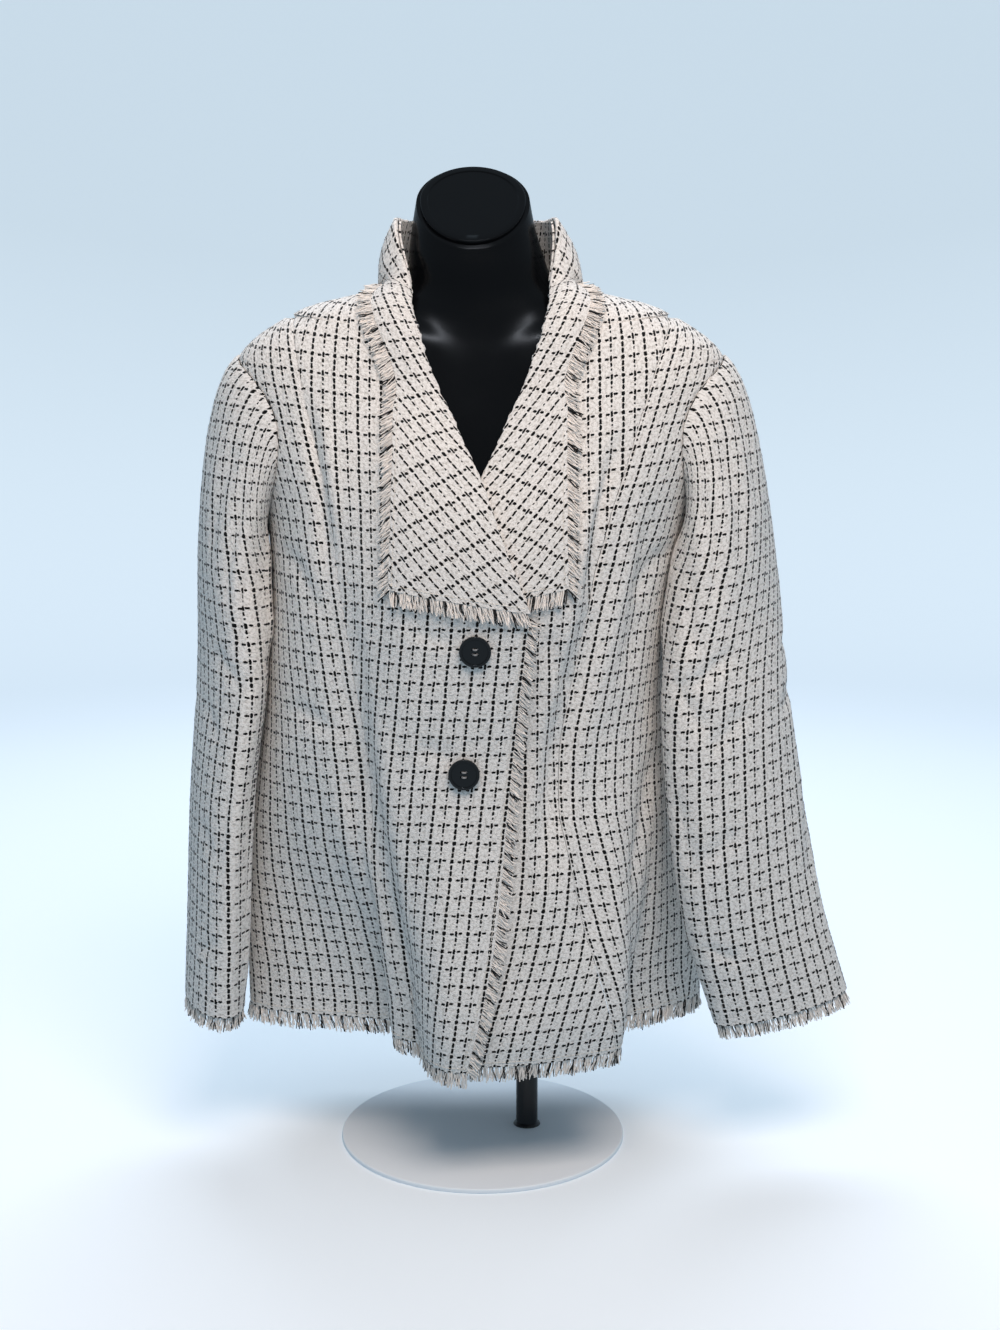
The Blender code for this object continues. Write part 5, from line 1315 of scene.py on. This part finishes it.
def front_edge(share):
    """The overlapping front's edge, from the collar down to the hem."""
    level = EDGE_FRINGE_TOP + (HEM - EDGE_FRINGE_TOP) * share
    angle = angle_on_line(level, FRONT_EDGE_Z, FRONT_EDGE_X)
    raised = overlap_lift(angle, level) + crease_depth(angle, level) - FRONT_EDGE_SUNK
    root = on_body(angle, level, raised)
    outward = unit(on_body(angle + SMALL_TURN, level, raised) - root)
    downward = unit(on_body(angle, level - SMALL_RISE, raised) - root)
    hang = unit(outward + EDGE_DROOP * downward)
    return root - FRINGE_ROOT * outward, hang, body_normals(angle, level)


def collar_end_edge(side):
    """The collar's square lower end."""
    def edge(share):
        across = COLLAR_END_GAP + (1.0 - 2.0 * COLLAR_END_GAP) * share
        lift = COLLAR_LIFT + COLLAR_WALL - EDGE_SUNK
        root = on_collar(side, np.zeros_like(across), across, lift)
        above = on_collar(side, np.full_like(across, SMALL_PLACE), across, lift)
        hang = unit(root - above)
        beside = on_collar(side, np.zeros_like(across), across + SMALL_TURN, lift)
        normal = unit(side * np.cross(beside - root, above - root))
        return root - FRINGE_ROOT * hang, hang, normal
    return edge


def collar_side_edge(side):
    """The collar's outer edge, from its square end round to the back of the neck."""
    def edge(share):
        place = (COLLAR_LAST - COLLAR_SIDE_GAP) * share
        lift = COLLAR_LIFT + COLLAR_WALL - EDGE_SUNK
        one = np.ones_like(place)
        root = on_collar(side, place, one, lift)
        beyond = on_collar(side, place, one + SMALL_RISE, lift)
        outward = unit(beyond - root)
        before = on_collar(side, place - SMALL_RISE, one, lift)
        downward = unit(before - root)
        normal = unit(side * np.cross(outward, -downward))
        fading = soft_step((place - COLLAR_DROOP_ROWS) / COLLAR_DROOP_ROWS)
        droop = COLLAR_DROOP * (1.0 - fading)[..., None]
        return root - FRINGE_ROOT * outward, unit(outward + droop * downward), normal
    return edge


def cuff_edge(rows, side):
    """A sleeve's lower edge, all round."""
    def edge(share):
        turn = SLEEVE_SEAM_BACK + CUFF_GAP + (2.0 * math.pi - 2.0 * CUFF_GAP) * share
        end = np.full_like(turn, SLEEVE_END)
        normal = sleeve_normals(rows, side, turn, end)
        on_edge = sleeve_points(rows, side, turn, end)
        root = on_edge - EDGE_SUNK * normal
        hang = unit(sleeve_points(rows, side, turn, end + SMALL_PLACE) - on_edge)
        return root - FRINGE_ROOT * hang, hang, normal
    return edge


front_angle = float(angle_on_line(np.array(HEM), FRONT_EDGE_Z, FRONT_EDGE_X))
under_angle = float(angle_on_line(np.array(HEM), UNDER_EDGE_Z, UNDER_EDGE_X))
side_angle = 0.5 * math.pi
right_hem = hem_edge(-side_angle, front_angle, overlap_lift)
left_hem = hem_edge(under_angle, side_angle, no_lift)
back_hem = hem_edge(side_angle, 3.0 * side_angle, no_lift)
fringe_piece("hem_fringe_right", right_hem, HEM_FRINGE, HEM_TUFTS, 1)
fringe_piece("hem_fringe_left", left_hem, HEM_FRINGE, HEM_TUFTS, 2)
fringe_piece("hem_fringe_back", back_hem, HEM_FRINGE, HEM_TUFTS, 3)
fringe_piece("front_edge_fringe", front_edge, EDGE_FRINGE, EDGE_TUFTS, 4)
for label, side, seed in (("right", -1.0, 5), ("left", 1.0, 8)):
    fringe_piece("collar_end_fringe_" + label, collar_end_edge(side), COLLAR_FRINGE, COLLAR_END_TUFTS, seed)
    fringe_piece("collar_side_fringe_" + label, collar_side_edge(side), COLLAR_FRINGE, COLLAR_SIDE_TUFTS,
                 seed + 1)
for label, side, table, seed in (("right", -1.0, SLEEVE_RIGHT, 11), ("left", 1.0, SLEEVE_LEFT, 12)):
    cuff = cuff_edge(number_rows(table), side)
    fringe_piece("cuff_fringe_" + label, cuff, CUFF_FRINGE, HEM_TUFTS, seed)


# Buttons
# Two glossy black buttons, turned with a raised rim and a shallow dish, drilled with four holes and
# sewn to the overlapping front with two passes of thread over each pair of holes.

BUTTON_RADIUS = 0.013
BUTTON_THICK = 0.0042
BUTTON_RIM = 0.0026
BUTTON_RIM_HEIGHT = 0.0013
BUTTON_RIM_STEPS = 8
BUTTON_DISH = 0.0004            # the dish sinks this far from the rim's foot
BUTTON_UNDERCUT = 0.0008
BUTTON_UNDERCUT_SHARE = 0.93
BUTTON_EDGE_SHARE = 0.35
BUTTON_SIDES = 96
BUTTON_SHARP = 35.0             # edges sharper than this, in degrees, stay crisp
BUTTON_HOLE_SIDES = 20
SEAT_POINTS = 12                # points round its edge that find how a button lies
BUTTON_HOLE_RADIUS = 0.0011
BUTTON_HOLE_SPREAD = 0.0021
BUTTON_FOOT_SHARE = 0.72
BUTTON_PLACES = (
    # name            x       z      shank
    ("button_upper", -0.004, 0.480, 0.0006),
    ("button_lower", -0.013, 0.374, 0.0014),
)
THREAD_RADIUS = 0.00042
THREAD_RISE = 0.0009
THREAD_DIP = 0.0012
THREAD_APART = 0.00035
THREAD_BELOW_TOP = 0.0014
THREAD_STEPS = 12
THREAD_SIDES = 10
RUB_SIZE = 0.003
TWIST_PITCH = 0.0012

# Cast polyester, black: polished to a high gloss, with a few fine rubbed scratches
button_gloss, tree, shader = new_finish("polished_black_polyester", "#060607", 0.12,
                                        Specular_IOR_Level=0.50)
vary_gloss(tree, shader, RUB_SIZE, detail=5.0, low=0.4, high=0.75, glossy=0.16, dull=0.30)

# Polyester sewing thread, grey: lightly lustrous, with a fine twist
thread_finish, tree, shader = new_finish("grey_sewing_thread", "#9c9a99", 0.6)
coordinates = add_node(tree, "ShaderNodeTexCoord")
twist = add_node(tree, "ShaderNodeTexWave", {"Vector": coordinates.outputs["Object"],
                                             "Scale": 1.0 / TWIST_PITCH})
bump = add_node(tree, "ShaderNodeBump", {"Height": twist.outputs["Fac"], "Strength": 0.4,
                                         "Distance": 0.0002})
tree.links.new(bump.outputs["Normal"], shader.inputs["Normal"])


def on_overlap(x, z):
    """The point of the overlapping front at an x and a height."""
    angle, level = place_on_front(x, z)
    turn = np.array(angle)
    rise = np.array(level)
    return on_body(turn, rise, overlap_lift(turn, rise))


def button_seat(x, z, shank):
    """Where a button lies on the overlapping front, and the matrix that puts it there."""
    middle = on_overlap(x, z)
    around = []
    for step in range(SEAT_POINTS):
        turn = 2.0 * math.pi * step / SEAT_POINTS
        around.append(on_overlap(x + BUTTON_RADIUS * math.cos(turn), z + BUTTON_RADIUS * math.sin(turn)))
    right, top, left, bottom = around[::SEAT_POINTS // 4]
    facing = unit(np.cross(right - left, top - bottom))
    highest = max(float(np.dot(point - middle, facing)) for point in around + [middle])
    seat = Vector(middle + facing * (highest + shank))
    return Matrix.Translation(seat) @ Vector(facing).to_track_quat("Z", "Y").to_matrix().to_4x4()


def button_profile():
    """Outline of half a button, from the middle of its back round to the middle of its dish."""
    rim_middle = BUTTON_RADIUS - 0.5 * BUTTON_RIM
    profile = [(0.0, 0.0), (BUTTON_FOOT_SHARE * BUTTON_RADIUS, 0.0), 
               (BUTTON_UNDERCUT_SHARE * BUTTON_RADIUS, BUTTON_UNDERCUT),
               (BUTTON_RADIUS, BUTTON_EDGE_SHARE * BUTTON_THICK)]
    rim_foot = BUTTON_THICK - BUTTON_RIM_HEIGHT
    for step in range(BUTTON_RIM_STEPS + 1):
        turn = math.pi * step / BUTTON_RIM_STEPS
        profile.append((rim_middle + 0.5 * BUTTON_RIM * math.cos(turn),
                        rim_foot + BUTTON_RIM_HEIGHT * math.sin(turn)))
    dish_radius = BUTTON_RADIUS - BUTTON_RIM
    for share in (0.9, 0.7, 0.45, 0.2, 0.0):
        profile.append((dish_radius * share, rim_foot - BUTTON_DISH * (1.0 - share * share)))
    return profile


def drilled(mesh, centres, radius, depth):
    """The mesh with a round hole drilled through it at each centre."""
    blank = bpy.data.objects.new("button_blank", mesh)
    bpy.context.scene.collection.objects.link(blank)
    drills = []
    for x, y in centres:
        bit = bmesh.new()
        bmesh.ops.create_cone(bit, cap_ends=True, segments=BUTTON_HOLE_SIDES, radius1=radius,
                              radius2=radius, depth=depth, matrix=Matrix.Translation((x, y, 0.0)))
        bit_mesh = bpy.data.meshes.new("drill_bit")
        bit.to_mesh(bit_mesh)
        bit.free()
        drill = bpy.data.objects.new("drill_bit", bit_mesh)
        bpy.context.scene.collection.objects.link(drill)
        drills.append(drill)
        cut = blank.modifiers.new("drill", "BOOLEAN")
        cut.operation = "DIFFERENCE"
        cut.solver = "EXACT"
        cut.object = drill
    evaluated = blank.evaluated_get(bpy.context.evaluated_depsgraph_get())
    result = bpy.data.meshes.new_from_object(evaluated)
    for used in drills + [blank]:
        bpy.data.objects.remove(used, do_unlink=True)
    result.shade_smooth()
    result.set_sharp_from_angle(angle=math.radians(BUTTON_SHARP))
    return result


def thread_mesh(name, start, end, height):
    """One pass of thread from hole to hole: a tube that rises over the dish and dips into the holes."""
    rings = []
    upward = np.array((0.0, 0.0, 1.0))
    for step in range(THREAD_STEPS + 1):
        share = step / THREAD_STEPS
        x = start[0] + (end[0] - start[0]) * share
        y = start[1] + (end[1] - start[1]) * share
        arch = math.sin(math.pi * share)
        z = height + THREAD_RISE * arch - THREAD_DIP * (1.0 - arch) ** 3
        forward = np.array((end[0] - start[0], end[1] - start[1], 0.0))
        sideways = unit(np.array((-forward[1], forward[0], 0.0)))
        ring = []
        for turn_step in range(THREAD_SIDES):
            turn = 2.0 * math.pi * turn_step / THREAD_SIDES
            around = math.cos(turn) * sideways + math.sin(turn) * upward
            ring.append(np.array((x, y, z)) + THREAD_RADIUS * around)
        rings.append(ring)
    return ring_mesh(name, np.array(rings)[:, ::-1], 60.0)


hole_centres = [(x * BUTTON_HOLE_SPREAD, y * BUTTON_HOLE_SPREAD) for x in (-1, 1) for y in (-1, 1)]
for name, x, z, shank in BUTTON_PLACES:
    place = button_seat(x, z, shank)
    blank = turned_mesh(name + "_disc", button_profile(), BUTTON_SIDES, BUTTON_SHARP)
    mesh = drilled(blank, hole_centres, BUTTON_HOLE_RADIUS, 4 * BUTTON_THICK)
    mesh.transform(place)
    add_piece(name + "_disc", mesh, button_gloss, "black_button", name)
    passes = bmesh.new()
    for y_side in (-1.0, 1.0):
        for nudge in (-THREAD_APART, THREAD_APART):
            y = y_side * BUTTON_HOLE_SPREAD + nudge
            first_hole = (-BUTTON_HOLE_SPREAD, y)
            second_hole = (BUTTON_HOLE_SPREAD, y)
            run = thread_mesh("thread_pass", first_hole, second_hole, BUTTON_THICK - THREAD_BELOW_TOP)
            passes.from_mesh(run)
            bpy.data.meshes.remove(run)
    sewn = bpy.data.meshes.new(name + "_thread")
    passes.to_mesh(sewn)
    passes.free()
    sewn.transform(place)
    sewn.shade_smooth()
    add_piece(name + "_thread", sewn, thread_finish, "black_button")


# Floor, light and camera
# A round studio cove of pale paper that turns up into a wall beyond every view; the paper glows with
# painted light. A softbox over the front, another behind and a cool fill light it; the camera stands at
# the photograph's height.

FLOOR_RADIUS = 2.4              # the floor is flat this far out, and then turns up all round
FLOOR_RIM = 0.2
COVE_RADIUS = 1.2
COVE_STEPS = 16
COVE_SIDES = 96
WALL_TOP = 3.4
FLOOR_COLOUR = "#eff3f7"
WALL_COLOUR = "#e8e8e9"
PAINTED_GLOW_COLOUR = "#d8f0ff"
FLOOR_PAINTED_GLOW = 0.15               # painted light: the floor's paper glows this much, which lifts its shadows
WALL_PAINTED_GLOW = 0.38                # and the wall's paper this much
GRADE_FROM = 1.9                # between these distances the paper turns from floor to wall
GRADE_TO = 3.4
FILL_COLOUR = "#d4ecff"
FILL_STRENGTH = 0.47
CAMERA_PLACE = (0.016, -1.69, 0.738)
CAMERA_PITCH = math.radians(80.0)
CAMERA_FOCAL_PIXELS = 1931.0
PHOTO_HEIGHT = 1330.0
SENSOR = 36.0

cove_profile = [(FLOOR_RADIUS - FLOOR_RIM, 0.0)]
for step in range(COVE_STEPS + 1):
    turn = 0.5 * math.pi * step / COVE_STEPS
    cove_profile.append((FLOOR_RADIUS + COVE_RADIUS * math.sin(turn), COVE_RADIUS * (1.0 - math.cos(turn))))
cove_profile.append((FLOOR_RADIUS + COVE_RADIUS, WALL_TOP))
cove_turns = [2.0 * math.pi * side / COVE_SIDES for side in range(COVE_SIDES)]
cove_points = [(radius * math.cos(turn), radius * math.sin(turn), height)
               for radius, height in cove_profile for turn in cove_turns]
cove_faces = [tuple(range(COVE_SIDES))]
for ring in range(len(cove_profile) - 1):
    low = ring * COVE_SIDES
    for side in range(COVE_SIDES):
        beside = (side + 1) % COVE_SIDES
        cove_faces.append((low + beside, low + side, low + COVE_SIDES + side, low + COVE_SIDES + beside))
cove_mesh = smooth_mesh("studio_cove", cove_points, cove_faces, 60.0)
# Seamless graded paper: matt, almost white on the floor and grey on the wall; it glows with a pale blue
# painted light, faint on the floor and stronger on the wall, so that the wall looks pale blue
paper, tree, shader = new_finish("graded_backdrop_paper", FLOOR_COLOUR, 0.9, Specular_IOR_Level=0.1)
coordinates = add_node(tree, "ShaderNodeTexCoord")
distance = add_node(tree, "ShaderNodeVectorMath", {0: coordinates.outputs["Object"]}, operation="LENGTH")
grade = add_node(tree, "ShaderNodeMapRange", {"Value": distance.outputs["Value"], "From Min": GRADE_FROM,
                                              "From Max": GRADE_TO}, interpolation_type="SMOOTHSTEP")
graded = add_node(tree, "ShaderNodeMix", {"Factor": grade.outputs["Result"], "A": linear(FLOOR_COLOUR),
                                          "B": linear(WALL_COLOUR)}, data_type="RGBA")
tree.links.new(graded.outputs["Result"], shader.inputs["Base Color"])
# painted light: the paper glows pale blue, faint on the floor, where it lifts the shadows, and stronger on
# the wall
painted_glow = add_node(tree, "ShaderNodeMapRange", {"Value": grade.outputs["Result"], "To Min": FLOOR_PAINTED_GLOW,
                                             "To Max": WALL_PAINTED_GLOW})
shader.inputs["Emission Color"].default_value = linear(PAINTED_GLOW_COLOUR)
tree.links.new(painted_glow.outputs["Result"], shader.inputs["Emission Strength"])
cove_mesh.materials.append(paper)
cove = bpy.data.objects.new("studio_cove", cove_mesh)
bpy.context.scene.collection.objects.link(cove)
cove.visible_diffuse = False
cove.visible_glossy = False

world = bpy.data.worlds.new("studio_fill")
world.use_nodes = True
fill = world.node_tree.nodes["Background"].inputs
fill["Color"].default_value = linear(FILL_COLOUR)
fill["Strength"].default_value = FILL_STRENGTH
bpy.context.scene.world = world


def soft_light(name, place, aim, size, power, colour):
    """A rectangular softbox at a place, turned to the point it lights."""
    lamp = bpy.data.lights.new(name, "AREA")
    lamp.shape = "RECTANGLE"
    lamp.size = size[0]
    lamp.size_y = size[1]
    lamp.energy = power
    lamp.color = linear(colour)[:3]
    light = bpy.data.objects.new(name, lamp)
    light.location = place
    light.rotation_euler = (Vector(aim) - Vector(place)).to_track_quat("-Z", "Y").to_euler()
    bpy.context.scene.collection.objects.link(light)
    return light


# The large lights are kept out of the gloss of the form and buttons, which a narrow strip gives
front = soft_light("front_softbox", (0.25, -1.35, 2.05), (0.0, 0.0, 0.62), (1.2, 0.9), 31.0, "#ffeadb")
front.visible_glossy = False
back = soft_light("back_softbox", (0.0, 1.5, 2.3), (0.0, -0.1, 0.0), (2.2, 1.0), 38.0, "#e6f2ff")
back.visible_glossy = False
strip = soft_light("gloss_strip", (0.05, -0.75, 1.95), (0.0, -0.05, 0.72), (0.45, 0.07), 3.6, "#eef4ff")
strip.visible_diffuse = False

camera_data = bpy.data.cameras.new("camera")
camera_data.sensor_fit = "VERTICAL"
camera_data.sensor_height = SENSOR
camera_data.lens = CAMERA_FOCAL_PIXELS / PHOTO_HEIGHT * SENSOR
camera = bpy.data.objects.new("camera", camera_data)
camera.location = CAMERA_PLACE
camera.rotation_euler = (CAMERA_PITCH, 0.0, 0.0)
bpy.context.scene.collection.objects.link(camera)
bpy.context.scene.camera = camera
bpy.context.scene.view_settings.view_transform = "Standard"
